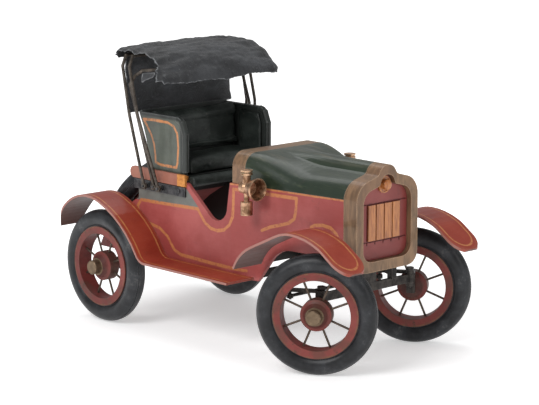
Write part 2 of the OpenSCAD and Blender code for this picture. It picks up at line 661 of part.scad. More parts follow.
// One crank on the right side; its pin is turned by a from the front
module crank(a) translate([0, 0, axle_z]) rotate([0, -a, 0]) translate([0, 0, -axle_z]) {
    for (y = [-crank_y - eye_w / 2 - 3 - web_t, -crank_y + eye_w / 2 + 3]) {
        translate([0, y, axle_z - 9]) cube([crank_throw, web_t, 18]);
        for (x = [0, crank_throw]) pin_y(x, axle_z, y, y + web_t, 9);
    }
    pin_y(crank_throw, axle_z, -crank_y - eye_w / 2 - 4, -crank_y + eye_w / 2 + 4, crank_pin_r);
}
crank_out = crank_y + eye_w / 2 + 3 + web_t;
axle_end = rear_y + hub_out - 3;
module rear_axle() in_place() color("#57534f") {
    pin_y(0, axle_z, -crank_in - 1, crank_in + 1, axle_r);
    both_sides() pin_y(0, axle_z, -axle_end, -crank_out + 1, axle_r);
    crank(0);
    mirror([0, 1, 0]) crank(180);
}
bearing_y = body_y + seat_gap;
module axle_bearings() in_place() color("#3c2622") both_sides() difference() {
    union() {
        translate([-16, -bearing_y - 7, axle_z]) cube([32, 7, sill_z + 34 - axle_z]);
        pin_y(0, axle_z, -bearing_y - 16, -bearing_y, 16);
    }
    pin_y(0, axle_z, -bearing_y - 17, -bearing_y + 1, axle_r + run_fit);
}
pedal_x = cowl_x + 75;
pedal_z = 374;
pedal_pin_r = 5;
rod_reach = 120;
pad_reach = 184;
lever_y = 40.5;
pedal_swing = asin(crank_throw / rod_reach);
module pedal_shaft() in_place() color("#4d4a47") {
    w = in_face(pedal_x + 12);
    pin_y(pedal_x, pedal_z, -w, w, pedal_pin_r);
    both_sides() pin_y(pedal_x, pedal_z, -w, -w + 6, 13);
}
// Pedal lever; a is its swing towards the front
module pedal(a) color("#3d3b39") translate([pedal_x, 0, pedal_z]) rotate([0, -a, 0]) difference() {
    union() {
        translate([-7, -lever_y - 3, -pad_reach]) cube([14, 6, pad_reach]);
        pin_y(0, 0, -lever_y - 5, -lever_y + 5, 10);
        pin_y(0, -rod_reach, -crank_y + eye_w / 2 + open_fit + seat_gap, -lever_y + 3, 10);
        translate([-9, -lever_y - 26, -pad_reach - 9]) cube([15, 52, 14]);
    }
    pin_y(0, 0, -lever_y - 6, -lever_y + 6, pedal_pin_r + run_fit);
}
module pedal_right() in_place() pedal(pedal_swing);
module pedal_left() in_place() on_side(1) pedal(-pedal_swing);
// Push rod on the right side; d is 1 when its crank points forwards
module push_rod(d) color("#46433f") {
    a = [d * crank_throw, -crank_y, axle_z];
    b = [pedal_x + d * rod_reach * sin(pedal_swing), -crank_y, pedal_z - rod_reach * cos(pedal_swing)];
    difference() {
        union() {
            rod(a, b, eye_w / 2 - 0.3);
            for (p = [a, b]) pin_y(p[0], p[2], -crank_y - eye_w / 2, -crank_y + eye_w / 2, 10);
            pin_y(b[0], b[2], -crank_y - eye_w / 2 - 4, -crank_y, 6);
        }
        pin_y(a[0], a[2], -crank_y - 5, -crank_y + 5, crank_pin_r + run_fit);
    }
}
module push_rod_right() in_place() push_rod(1);
module push_rod_left() in_place() on_side(1) push_rod(-1);

// ---- folding top ----

plate_out = body_y + seat_gap + 4;
bow_r = bow_d / 2;
pivot_x = [86, 109.5, 134.5];
bow_pin_r = 3;
eye_t = bow_d - 1;
layer_pitch = bow_d + 1.5;
layer = [bow_y, bow_y - layer_pitch, bow_y];
spread = bow_y - layer_pitch - plate_out - 0.3 - bow_r;
module bow_plates() in_place() color("#3a3836") both_sides() {
    translate([38, -plate_out, seat_line_z - 22]) cube([172, 4, 21]);
    for (i = [0:2])
        pin_y(pivot_x[i], bow_pivot_z, -layer[i] + spread - bow_r - 1.5, -plate_out + 1, bow_pin_r);
    for (i = [0, 2]) pin_y(pivot_x[i], bow_pivot_z, -plate_out - 4, -plate_out + 1, 6);
    pin_y(190, bow_pivot_z + 1, -plate_out - 3, -plate_out + 1, 4);
}
// One bow: eye on its pivot, splayed leg, upright and crossbar
module bow(i, knee, top, cross) color("#57504a") {
    y0 = layer[i] - spread;
    difference() {
        both_sides() {
            pin_y(pivot_x[i], bow_pivot_z, -y0 - eye_t / 2, -y0 + eye_t / 2, 7);
            bent_rod(concat([[pivot_x[i], -y0, bow_pivot_z], [knee[0], -layer[i], knee[1]]],
                [for (p = top) [p[0], -layer[i], p[1]]], [[cross[0], -layer[i] + 14, cross[1]]]), bow_r);
        }
        both_sides() pin_y(pivot_x[i], bow_pivot_z, -y0 - 8, -y0 + 8, bow_pin_r + run_fit);
    }
    c = layer[i] - 14;
    rod([cross[0], -c, cross[1]], [cross[0], c, cross[1]], bow_r);
    both_sides() translate([cross[0], -c, cross[1]]) sphere(r = bend_r * bow_r, $fn = 24);
}
module rear_bow() in_place() bow(0, [72, 476], [[51, 582]], [46, 604]);
module middle_bow() in_place() bow(2, [100, 478], [[74, 582]], [69, 604]);
module front_bow() in_place() bow(1, [91, 470], [[66, 541], [83, 562], [110, 576]], [146, 580]);

// Side view of the canvas roof, from its rear edge to the front one
roof_line = [[16, 572], [20, 604], [32, roof_z - 12], [60, roof_z - 3], [90, roof_z - 3],
    [122, roof_z - 15], [140, roof_z - 27], [160, 588], [176, 561]];
roof_skin = strip(roof_line, canvas_t);
roof_under = [for (i = [len(roof_skin) - 1:-1:len(roof_line)]) roof_skin[i]];
// The roof's crown across the car, w out from the middle
module crown_2d(w, top) polygon(concat([[-w, 500]],
    [for (i = [0:16]) let (u = -1 + i / 8) [u * (w - 2), top - roof_crown * pow(abs(u), 2.4)]], [[w, 500]]));
module canopy() in_place() color("#43464a") difference() {
    intersection() {
        along_y(-roof_y, roof_y) polygon(concat(roof_line, [[150, 556], [60, 560]]));
        along_x(0, 200) crown_2d(roof_y, roof_z - 2);
    }
    intersection() {
        along_y(-roof_y + canvas_t, roof_y - canvas_t)
            polygon(concat([[roof_under[0][0], 540]], roof_under, [[roof_under[8][0], 540]]));
        along_x(0, 200) crown_2d(roof_y - canvas_t, roof_z - 2 - canvas_t);
    }
}
curtain_y = bow_y - layer_pitch - 11;
module back_curtain() in_place() color("#1d1f21") along_y(-curtain_y, curtain_y)
    polygon([[28, 606], [33, 606], [46, 470], [43, 470]]);

// ---- spare wheel carrier and lamps ----

carrier_r = 9;
module spare_carrier() in_place() color("#403d3a") difference() {
    at_spare() {
        translate([0, 0, -44]) cylinder(h = 44 + hub_out - 4, r = carrier_r);
        translate([0, 0, -hub_in - 7]) cylinder(h = 6, r = 26);
    }
    along_y(-deck_y, deck_y)
        polygon(concat([for (p = deck_line) p + [0, seat_gap]], [[tail_x, 100], [98, 100]]));
}
lamp_c = [cowl_x + 85, body_y + 23, 357];
lamp_r = 24;
// Right lamp: trumpet reflector, round body, chimney, neck and font
module lamp() color("#9a7a4a") translate([lamp_c[0], -lamp_c[1], lamp_c[2]]) {
    rotate([0, 90, 0]) rotate_extrude() polygon([[0, -26], [9, -26], [13, -22], [14, -10], [11, -4],
        [17, 2], [lamp_r, 22], [lamp_r, 26], [lamp_r - 2, 26], [14, 4], [0, 2]]);
    translate([-10, 0, 8]) cylinder(h = 22, r = 9);
    translate([-10, 0, 28]) cylinder(h = 4, r = 13);
    translate([-10, 0, 35]) cylinder(h = 3, r = 13);
    translate([-10, 0, 30]) cylinder(h = 6, r = 8);
    translate([-10, 0, -30]) cylinder(h = 26, r = 6);
    translate([-10, 0, -58]) cylinder(h = 28, r = 13);
    translate([-18, 8, -14]) cube([14, lamp_c[1] - half_w(lamp_c[0] - 10) - 9, 8]);
}
module lamp_right() in_place() lamp();
module lamp_left() in_place() on_side(1) lamp();

rear_tyre_right();
rear_tyre_left();
front_tyre_right();
front_tyre_left();
spare_tyre();
rear_rim_right();
rear_rim_left();
front_rim_right();
front_rim_left();
spare_rim();
rear_hub_right();
rear_hub_left();
front_hub_right();
front_hub_left();
spare_hub();
body_side_right();
body_side_left();
tail_deck();
chassis_frame();
cowl_band_top();
hood();
radiator_shell();
radiator_panel();
grille_bars();
radiator_badge();
seat_base();
seat_tub();
back_pad();
arm_pads();
seat_cushion();
seat_roll();
rear_fender_right();
rear_fender_left();
front_fender_right();
front_fender_left();
fender_stays();
front_axle();
kingpins();
knuckle_right();
knuckle_left();
tie_rod();
steering_column();
steering_wheel();
column_brackets();
rear_axle();
axle_bearings();
pedal_shaft();
pedal_right();
pedal_left();
push_rod_right();
push_rod_left();
bow_plates();
rear_bow();
middle_bow();
front_bow();
canopy();
back_curtain();
spare_carrier();
lamp_right();
lamp_left();
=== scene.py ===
"""Child's pedal car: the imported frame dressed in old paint, canvas, leather and brass."""
import json
import math

import bpy
from mathutils import Matrix, Vector, noise


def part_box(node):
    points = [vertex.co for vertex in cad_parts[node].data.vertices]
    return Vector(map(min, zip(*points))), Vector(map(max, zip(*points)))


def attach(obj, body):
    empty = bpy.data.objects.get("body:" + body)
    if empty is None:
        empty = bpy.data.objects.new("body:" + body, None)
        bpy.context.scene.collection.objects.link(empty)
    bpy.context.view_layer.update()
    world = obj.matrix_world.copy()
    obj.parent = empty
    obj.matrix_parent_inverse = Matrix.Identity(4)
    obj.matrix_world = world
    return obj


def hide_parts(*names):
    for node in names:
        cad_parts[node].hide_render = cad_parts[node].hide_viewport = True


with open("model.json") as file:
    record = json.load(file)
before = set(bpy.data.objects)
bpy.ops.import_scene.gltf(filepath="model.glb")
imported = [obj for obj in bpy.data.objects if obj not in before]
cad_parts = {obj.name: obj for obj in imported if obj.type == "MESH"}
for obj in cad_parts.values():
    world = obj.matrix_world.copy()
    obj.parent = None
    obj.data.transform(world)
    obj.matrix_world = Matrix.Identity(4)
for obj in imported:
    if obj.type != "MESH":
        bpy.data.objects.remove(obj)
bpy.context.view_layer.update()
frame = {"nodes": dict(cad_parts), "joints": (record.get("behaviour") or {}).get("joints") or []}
nodes = frame["nodes"]
scene = bpy.context.scene
scene.view_settings.view_transform = "Standard"

MM = 0.001
REAR_AXLE = next(j["pos_m"][0] for j in frame["joints"] if j["name"] == "drive_spin")
JOINT_AT = {j["name"]: Vector(j["pos_m"]) for j in frame["joints"]}


def at(x, y, z):
    """A place measured in millimetres from the rear axle, the middle of the car and the floor."""
    return Vector((REAR_AXLE + x * MM, y * MM, z * MM))


# ---------------------------------------------------------------- camera and studio

def add_camera():
    """The camera in front of the car's right side, a little above it."""
    eye, target = at(3719, -3177.5, 1181.2), at(336.45, 0, 292.17)
    data = bpy.data.cameras.new("camera")
    data.lens = 144.285
    data.sensor_width = 36
    data.clip_end = 60
    camera = bpy.data.objects.new("camera", data)
    scene.collection.objects.link(camera)
    camera.matrix_world = Matrix.Translation(eye) @ (target - eye).to_track_quat("-Z", "Y").to_matrix().to_4x4()
    scene.camera = camera


def add_lamp(name, place, target, size, power):
    """A square soft box that faces a point on the car."""
    data = bpy.data.lights.new(name, "AREA")
    data.shape = "SQUARE"
    data.size = size
    data.energy = power
    light = bpy.data.objects.new(name, data)
    scene.collection.objects.link(light)
    place, target = Vector(place), Vector(target)
    light.matrix_world = Matrix.Translation(place) @ (target - place).to_track_quat("-Z", "Y").to_matrix().to_4x4()


def select_only(obj):
    """Makes one object the selected and active one."""
    bpy.ops.object.select_all(action="DESELECT")
    obj.select_set(True)
    bpy.context.view_layer.objects.active = obj


def add_studio():
    """A pale floor that glows as painted light, weaker near the car, an even white surround and three soft boxes."""
    bpy.ops.object.select_all(action="DESELECT")
    bpy.ops.mesh.primitive_plane_add(size=60, location=(0, 0, 0))
    floor = bpy.context.active_object
    floor.name = "studio_floor"
    pale = bpy.data.materials.new("pale floor")
    pale.use_nodes = True
    shader = pale.node_tree.nodes["Principled BSDF"]
    shader.inputs["Base Color"].default_value = (0.93, 0.925, 0.93, 1)
    shader.inputs["Roughness"].default_value = 0.55
    shader.inputs["Specular IOR Level"].default_value = 0.2
    tree = pale.node_tree
    # Painted light: the floor glows, weaker close to the car and stronger further out, which lifts the shadow under the
    # car and keeps the far floor white.
    reach = put(tree, "ShaderNodeVectorMath", {0: place_of(tree)}, operation="LENGTH").outputs["Value"]
    glow = step_up(tree, reach, 0.35, 1.5, 0.48, 1.0)
    tree.links.new(put(tree, "ShaderNodeCombineColor", {0: glow, 1: glow, 2: glow}).outputs[0], shader.inputs["Emission Color"])
    shader.inputs["Emission Strength"].default_value = 0.85
    floor.data.materials.append(pale)
    world = bpy.data.worlds.new("white surround")
    world.use_nodes = True
    world.node_tree.nodes["Background"].inputs["Color"].default_value = (1, 1, 1, 1)
    world.node_tree.nodes["Background"].inputs["Strength"].default_value = 0.42
    scene.world = world
    add_lamp("key box", (0.5, -2.7, 2.3), (0, 0, 0.25), 1.5, 60)
    add_lamp("top box", (-1.0, 0.6, 3.0), (0, 0, 0.3), 2.2, 34)
    add_lamp("front box", (3.4, 0.6, 1.5), (0.2, 0, 0.25), 1.4, 13)


# ---------------------------------------------------------------- laying out shader nodes

def put(tree, kind, ins=None, **settings):
    """Adds a shader node; a socket given as an input is linked and any other value is set."""
    new = tree.nodes.new(kind)
    for name, value in settings.items():
        setattr(new, name, value)
    for name, value in (ins or {}).items():
        socket = new.inputs[name]
        if isinstance(value, bpy.types.NodeSocket):
            tree.links.new(value, socket)
        else:
            socket.default_value = value
    return new


def calc(tree, operation, a, b=0.0, c=0.0, clamp=False):
    """The result of one Math node."""
    return put(tree, "ShaderNodeMath", {0: a, 1: b, 2: c}, operation=operation, use_clamp=clamp).outputs[0]


def step_up(tree, value, low, high, to_low=0.0, to_high=1.0):
    """A value that rises smoothly from one level to another."""
    return put(tree, "ShaderNodeMapRange", {0: value, 1: low, 2: high, 3: to_low, 4: to_high},
               interpolation_type="SMOOTHSTEP").outputs[0]


def mixed(tree, share, a, b, blend="MIX"):
    """Colour a turning into colour b."""
    return put(tree, "ShaderNodeMix", {0: share, 6: a, 7: b}, data_type="RGBA", blend_type=blend).outputs[2]


def speckle(tree, vector, scale, detail=4.0, rough=0.55, warp=0.0):
    """The value of one noise texture."""
    return put(tree, "ShaderNodeTexNoise", {"Vector": vector, "Scale": scale, "Detail": detail,
                                            "Roughness": rough, "Distortion": warp}).outputs[0]


def place_of(tree):
    """Where a point lies on the piece."""
    return put(tree, "ShaderNodeTexCoord").outputs["Object"]


def stretched(tree, vector, scale, turn=(0, 0, 0), shift=(0, 0, 0)):
    """The same point in a stretched, turned or shifted pattern."""
    return put(tree, "ShaderNodeMapping", {"Vector": vector, "Location": shift, "Rotation": turn,
                                           "Scale": scale}).outputs[0]


def parts_of(tree, vector):
    """The X, Y and Z of a vector."""
    return put(tree, "ShaderNodeSeparateXYZ", {0: vector}).outputs


def new_group(name, inputs, outputs):
    """An empty node group with named inputs and outputs; returns it with its two end nodes."""
    group = bpy.data.node_groups.new(name, "ShaderNodeTree")
    for label, kind, value in inputs:
        socket = group.interface.new_socket(label, in_out="INPUT", socket_type="NodeSocket" + kind)
        if value is not None:
            socket.default_value = value
    for label, kind in outputs:
        group.interface.new_socket(label, in_out="OUTPUT", socket_type="NodeSocket" + kind)
    return group, group.nodes.new("NodeGroupInput").outputs, group.nodes.new("NodeGroupOutput").inputs


def use(tree, group, ins):
    """Places a group in a material and returns its outputs."""
    new = tree.nodes.new("ShaderNodeGroup")
    new.node_tree = group
    for name, value in ins.items():
        if isinstance(value, bpy.types.NodeSocket):
            tree.links.new(value, new.inputs[name])
        else:
            new.inputs[name].default_value = value
    return new.outputs


def make_edge_wear():
    """Mask of rubbed edges and corners, broken up as real wear is."""
    g, given, out = new_group("edge wear", [("Reach", "Float", 0.002), ("Amount", "Float", 0.5), ("Scale", "Float", 60.0)],
                              [("Mask", "Float")])
    flat = put(g, "ShaderNodeNewGeometry").outputs["Normal"]
    bevel = put(g, "ShaderNodeBevel", {"Radius": given["Reach"]}, samples=4).outputs[0]
    cosine = put(g, "ShaderNodeVectorMath", {0: flat, 1: bevel}, operation="DOT_PRODUCT").outputs["Value"]
    edge = step_up(g, calc(g, "SUBTRACT", 1.0, cosine), 0.01, 0.22)
    broken = speckle(g, place_of(g), given["Scale"], 6, 0.65)
    reach = calc(g, "MULTIPLY_ADD", given["Amount"], 0.75, broken)
    ridge_wear_and_highlight = step_up(g, reach, 0.62, 0.88)
    g.links.new(calc(g, "MULTIPLY", edge, ridge_wear_and_highlight, clamp=True), out["Mask"])
    return g


def make_old_paint():
    """Brushed paint of many years: cloudy colour, fine scratches, chips and a soft uneven gloss."""
    g, given, out = new_group("old paint", [
        ("Paint", "Color", (0.5, 0.1, 0.1, 1)), ("Faded", "Color", (0.6, 0.2, 0.2, 1)),
        ("Bare", "Color", (0.1, 0.08, 0.07, 1)), ("Wear", "Float", 0.4), ("Gloss", "Float", 0.45)],
        [("Color", "Color"), ("Roughness", "Float"), ("Height", "Float"), ("Bare", "Float")])
    here = place_of(g)
    cloud = speckle(g, here, 7.0, 5, 0.6)
    fine = speckle(g, here, 90.0, 5, 0.6)
    brushed = speckle(g, stretched(g, here, (18, 60, 260)), 1.0, 3, 0.5)
    faded = calc(g, "ADD", calc(g, "MULTIPLY", step_up(g, cloud, 0.38, 0.66), 0.75), calc(g, "MULTIPLY", brushed, 0.25))
    colour = mixed(g, faded, given["Paint"], given["Faded"])
    dirt = step_up(g, speckle(g, here, 26.0, 8, 0.7, 0.4), 0.56, 0.76)
    colour = mixed(g, calc(g, "MULTIPLY", dirt, 0.30), colour, (0.05, 0.03, 0.025, 1))
    scratch = speckle(g, stretched(g, here, (30, 260, 420), (0.3, 0.6, 0.2)), 1.0, 2, 0.5)
    scratch = calc(g, "MULTIPLY", step_up(g, scratch, 0.70, 0.74), 0.35)
    chips = step_up(g, calc(g, "MULTIPLY_ADD", given["Wear"], 0.16, speckle(g, here, 42.0, 9, 0.75)), 0.735, 0.765)
    edges = use(g, edge_wear, {"Reach": 0.0022, "Amount": given["Wear"], "Scale": 70.0})["Mask"]
    bare = calc(g, "MAXIMUM", calc(g, "MAXIMUM", calc(g, "MULTIPLY", chips, 0.8), scratch), edges)
    colour = mixed(g, bare, colour, given["Bare"])
    g.links.new(colour, out["Color"])
    rough = calc(g, "MULTIPLY_ADD", fine, 0.22, given["Gloss"])
    rough = calc(g, "ADD", rough, calc(g, "MULTIPLY", bare, 0.15), clamp=True)
    g.links.new(rough, out["Roughness"])
    height = calc(g, "ADD", calc(g, "MULTIPLY", fine, 0.25), calc(g, "MULTIPLY", brushed, 0.35))
    height = calc(g, "SUBTRACT", height, calc(g, "MULTIPLY", bare, 0.6))
    g.links.new(height, out["Height"])
    g.links.new(bare, out["Bare"])
    return g


def make_stroke():
    """Distance from a point to a straight stroke of a lining brush, or the nearer of it and the strokes before."""
    g, given, out = new_group("lining stroke", [("Point", "Vector", None), ("From", "Vector", None),
                                                ("To", "Vector", None), ("Nearest", "Float", 1.0)], [("Nearest", "Float")])

    def vec(operation, a, b):
        return put(g, "ShaderNodeVectorMath", {0: a, 1: b}, operation=operation)
    along = vec("SUBTRACT", given["To"], given["From"]).outputs[0]
    out_to = vec("SUBTRACT", given["Point"], given["From"]).outputs[0]
    share = calc(g, "DIVIDE", vec("DOT_PRODUCT", out_to, along).outputs["Value"],
                 vec("DOT_PRODUCT", along, along).outputs["Value"], clamp=True)
    foot = put(g, "ShaderNodeVectorMath", {0: along, "Scale": share}, operation="SCALE").outputs[0]
    gap = put(g, "ShaderNodeVectorMath", {0: vec("SUBTRACT", out_to, foot).outputs[0]}, operation="LENGTH").outputs["Value"]
    g.links.new(calc(g, "MINIMUM", gap, given["Nearest"]), out["Nearest"])
    return g


def make_lining():
    """Mask of a hand-painted line, a little uneven and rubbed away in places."""
    g, given, out = new_group("painted line", [("Distance", "Float", 1.0), ("Width", "Float", 0.003)], [("Mask", "Float")])
    here = place_of(g)
    wobble = calc(g, "MULTIPLY", calc(g, "SUBTRACT", speckle(g, here, 45.0, 2), 0.5), 0.0022)
    edge = calc(g, "ADD", given["Distance"], wobble)
    half = calc(g, "MULTIPLY", given["Width"], 0.5)
    line = calc(g, "SUBTRACT", 1.0, step_up(g, calc(g, "SUBTRACT", edge, half), -0.0005, 0.0007))
    rubbed = step_up(g, speckle(g, here, 130.0, 6, 0.7), 0.36, 0.52, 0.35, 1.0)
    g.links.new(calc(g, "MULTIPLY", line, rubbed), out["Mask"])
    return g


def make_grain():
    """Streaky grain that runs along one axis."""
    g, given, out = new_group("streaky grain", [
        ("Light", "Color", (0.3, 0.2, 0.1, 1)), ("Dark", "Color", (0.1, 0.06, 0.03, 1)), ("Stretch", "Vector", None)],
        [("Color", "Color"), ("Height", "Float")])
    here = place_of(g)
    long = put(g, "ShaderNodeVectorMath", {0: here, 1: given["Stretch"]}, operation="MULTIPLY").outputs[0]
    streak = speckle(g, long, 1.0, 6, 0.62, 0.5)
    fine = speckle(g, long, 4.0, 4, 0.6)
    value = calc(g, "ADD", calc(g, "MULTIPLY", streak, 0.7), calc(g, "MULTIPLY", fine, 0.3))
    g.links.new(mixed(g, step_up(g, value, 0.36, 0.62), given["Dark"], given["Light"]), out["Color"])
    g.links.new(value, out["Height"])
    return g


edge_wear = make_edge_wear()
old_paint = make_old_paint()
lining_stroke = make_stroke()
painted_line = make_lining()
streaky_grain = make_grain()


def new_material(name):
    """A material with its node tree and its Principled shader."""
    material = bpy.data.materials.new(name)
    material.use_nodes = True
    shader = material.node_tree.nodes["Principled BSDF"]
    shader.inputs["Specular IOR Level"].default_value = 0.3
    return material, material.node_tree, shader


def finish_with(tree, shader, colour=None, rough=None, height=None, depth=0.0004, metal=None):
    """Links the colour, roughness, metal and bump of a material to its shader."""
    for name, value in (("Base Color", colour), ("Roughness", rough), ("Metallic", metal)):
        if isinstance(value, bpy.types.NodeSocket):
            tree.links.new(value, shader.inputs[name])
        elif value is not None:
            shader.inputs[name].default_value = value
    if height is not None:
        bump = put(tree, "ShaderNodeBump", {"Height": height, "Distance": depth, "Strength": 0.8})
        tree.links.new(bump.outputs[0], shader.inputs["Normal"])


def strokes(tree, point, line):
    """Distance to a line of strokes through points on the piece."""
    nearest = 1.0
    for a, b in zip(line, line[1:]):
        nearest = use(tree, lining_stroke, {"Point": point, "From": a, "To": b, "Nearest": nearest})["Nearest"]
    return nearest


def side_view(tree, here):
    """The point as seen from the side, with its Y left out."""
    return put(tree, "ShaderNodeVectorMath", {0: here, 1: (1, 0, 1)}, operation="MULTIPLY").outputs[0]


def side_line(*points):
    """Points of a line on the car's side, in millimetres from the rear axle and the floor."""
    return [tuple(at(x, 0, z)) for x, z in points]


LINE_ORANGE = (0.46, 0.17, 0.060, 1)
DOOR_LINE = side_line((56, 277), (120, 278.5), (248, 283), (258, 270), (272, 255), (290, 246), (311, 244),
                      (333, 249), (350, 262), (360, 282), (362, 310), (363, 342), (460, 342), (533, 342))
FENDER_LINE = side_line((533, 342), (531, 316), (527, 298), (512, 287), (490, 280), (462, 272), (440, 262))
TAIL_LINE = side_line((56, 277), (44, 262), (56, 240), (82, 227), (118, 222), (146, 206), (168, 180), (190, 172),
                      (300, 169), (398, 168))
NOSE_LINE = side_line((572, 286), (581, 291), (601, 294), (622, 291), (637, 280), (643, 270))


def make_body_red():
    """Brick red body sides with orange lining and a grey-green panel under the seat."""
    material, tree, shader = new_material("brick red body paint")
    here = place_of(tree)
    flat = side_view(tree, here)
    x, y, z = parts_of(tree, here)
    paint = use(tree, old_paint, {"Paint": (0.265, 0.043, 0.038, 1), "Faded": (0.39, 0.092, 0.086, 1),
                                  "Bare": (0.13, 0.045, 0.035, 1), "Wear": 0.30, "Gloss": 0.36})
    floor_z, seat_z = at(0, 0, 277).z, at(0, 0, 284).z
    rising = calc(tree, "MULTIPLY_ADD", calc(tree, "SUBTRACT", x, at(48, 0, 0).x), 0.03, floor_z)
    above = step_up(tree, calc(tree, "SUBTRACT", z, rising), -0.0006, 0.0006)
    slant = calc(tree, "ADD", calc(tree, "MULTIPLY", calc(tree, "SUBTRACT", x, at(229, 0, 0).x), 0.676),
                 calc(tree, "MULTIPLY", calc(tree, "SUBTRACT", z, seat_z + 0.041), 0.737))
    behind = calc(tree, "SUBTRACT", 1.0, step_up(tree, slant, -0.0145, -0.0135))
    panel = calc(tree, "MULTIPLY", above, behind)
    green = use(tree, old_paint, {"Paint": (0.085, 0.088, 0.078, 1), "Faded": (0.16, 0.165, 0.15, 1),
                                  "Bare": (0.05, 0.04, 0.035, 1), "Wear": 0.35, "Gloss": 0.5})
    colour = mixed(tree, panel, paint["Color"], green["Color"])
    nearest = strokes(tree, flat, DOOR_LINE)
    for line in (FENDER_LINE, TAIL_LINE, NOSE_LINE):
        nearest = calc(tree, "MINIMUM", nearest, strokes(tree, flat, line))
    mask = use(tree, painted_line, {"Distance": nearest, "Width": 0.0070})["Mask"]
    top = strokes(tree, flat, side_line((355, 352.5), (660, 352.5)))
    mask = calc(tree, "MAXIMUM", mask, use(tree, painted_line, {"Distance": top, "Width": 0.0042})["Mask"])
    side = calc(tree, "MULTIPLY", calc(tree, "SIGN", y), put(tree, "ShaderNodeVectorMath", {
        0: put(tree, "ShaderNodeNewGeometry").outputs["Normal"], 1: (0, 1, 0)}, operation="DOT_PRODUCT").outputs["Value"])
    facing = step_up(tree, side, 0.3, 0.6)
    colour = mixed(tree, calc(tree, "MULTIPLY", mask, facing), colour, LINE_ORANGE)
    inner = step_up(tree, calc(tree, "MULTIPLY", side, -1.0), 0.3, 0.6)
    colour = mixed(tree, inner, colour, (0.014, 0.008, 0.007, 1))
    finish_with(tree, shader, colour, paint["Roughness"], paint["Height"], 0.0003)
    shader.inputs["Coat Weight"].default_value = 0.12
    shader.inputs["Coat Roughness"].default_value = 0.28
    return material


def make_plain_paint(name, paint, faded, bare, wear=0.4, gloss=0.4, coat=0.2):
    """One colour of old paint."""
    material, tree, shader = new_material(name)
    old = use(tree, old_paint, {"Paint": (*paint, 1), "Faded": (*faded, 1),
                               "Bare": (*bare, 1), "Wear": wear, "Gloss": gloss})
    finish_with(tree, shader, old["Color"], old["Roughness"], old["Height"], 0.0003)
    shader.inputs["Coat Weight"].default_value = coat
    shader.inputs["Coat Roughness"].default_value = 0.3
    return material


def make_tail_red():
    """Red bent deck behind the seat, black where it runs on into the footwell."""
    material, tree, shader = new_material("tail deck red")
    x = parts_of(tree, place_of(tree))[0]
    paint = use(tree, old_paint, {"Paint": (0.20, 0.050, 0.045, 1), "Faded": (0.30, 0.085, 0.080, 1),
                                  "Bare": (0.05, 0.03, 0.025, 1), "Wear": 0.45, "Gloss": 0.45})
    inside = step_up(tree, x, at(46, 0, 0).x, at(50, 0, 0).x)
    colour = mixed(tree, inside, paint["Color"], (0.013, 0.009, 0.008, 1))
    finish_with(tree, shader, colour, paint["Roughness"], paint["Height"], 0.0003)
    return material


def make_fender_red(name, tip_x, reach_x, middle_y):
    """Orange-red fender strip with a lining loop inside its edges, pale raw rims and an underside darkened as painted
    shade.
    """
    material, tree, shader = new_material(name)
    here = place_of(tree)
    x, y, z = parts_of(tree, here)
    paint = use(tree, old_paint, {"Paint": (0.245, 0.026, 0.012, 1), "Faded": (0.33, 0.052, 0.026, 1),
                                  "Bare": (0.30, 0.13, 0.11, 1), "Wear": 0.5, "Gloss": 0.30})
    plan = put(tree, "ShaderNodeVectorMath", {0: here, 1: (1, 1, 0)}, operation="MULTIPLY").outputs[0]
    ring = use(tree, lining_stroke, {"Point": plan, "From": (tip_x, middle_y, 0), "To": (reach_x, middle_y, 0),
                                     "Nearest": 1.0})["Nearest"]
    off = calc(tree, "ABSOLUTE", calc(tree, "SUBTRACT", ring, 0.0295))
    mask = use(tree, painted_line, {"Distance": off, "Width": 0.0036})["Mask"]
    up = put(tree, "ShaderNodeVectorMath", {0: put(tree, "ShaderNodeNewGeometry").outputs["Normal"], 1: (0, 0, 1)},
             operation="DOT_PRODUCT").outputs["Value"]
    sideways = calc(tree, "ABSOLUTE", put(tree, "ShaderNodeVectorMath", {
        0: put(tree, "ShaderNodeNewGeometry").outputs["Normal"], 1: (0, 1, 0)}, operation="DOT_PRODUCT").outputs["Value"])
    upper = step_up(tree, up, 0.05, 0.2)
    colour = mixed(tree, calc(tree, "MULTIPLY", mask, upper), paint["Color"], LINE_ORANGE)
    outer = step_up(tree, ring, 0.0340, 0.0385)
    colour = mixed(tree, calc(tree, "MULTIPLY", outer, 0.45), colour, (0.30, 0.075, 0.045, 1))
    colour = mixed(tree, calc(tree, "MULTIPLY", step_up(tree, sideways, 0.5, 0.8), 0.75), colour, (0.30, 0.15, 0.125, 1))
    # Painted shade: faces turned downwards are darkened, as if the underside lay in shadow.
    under = step_up(tree, calc(tree, "MULTIPLY", up, -1.0), 0.05, 0.2)
    colour = mixed(tree, calc(tree, "MULTIPLY", under, 0.92), colour, (0.085, 0.038, 0.030, 1))
    finish_with(tree, shader, colour, paint["Roughness"], paint["Height"], 0.0003)
    shader.inputs["Coat Weight"].default_value = 0.16
    shader.inputs["Coat Roughness"].default_value = 0.25
    return material


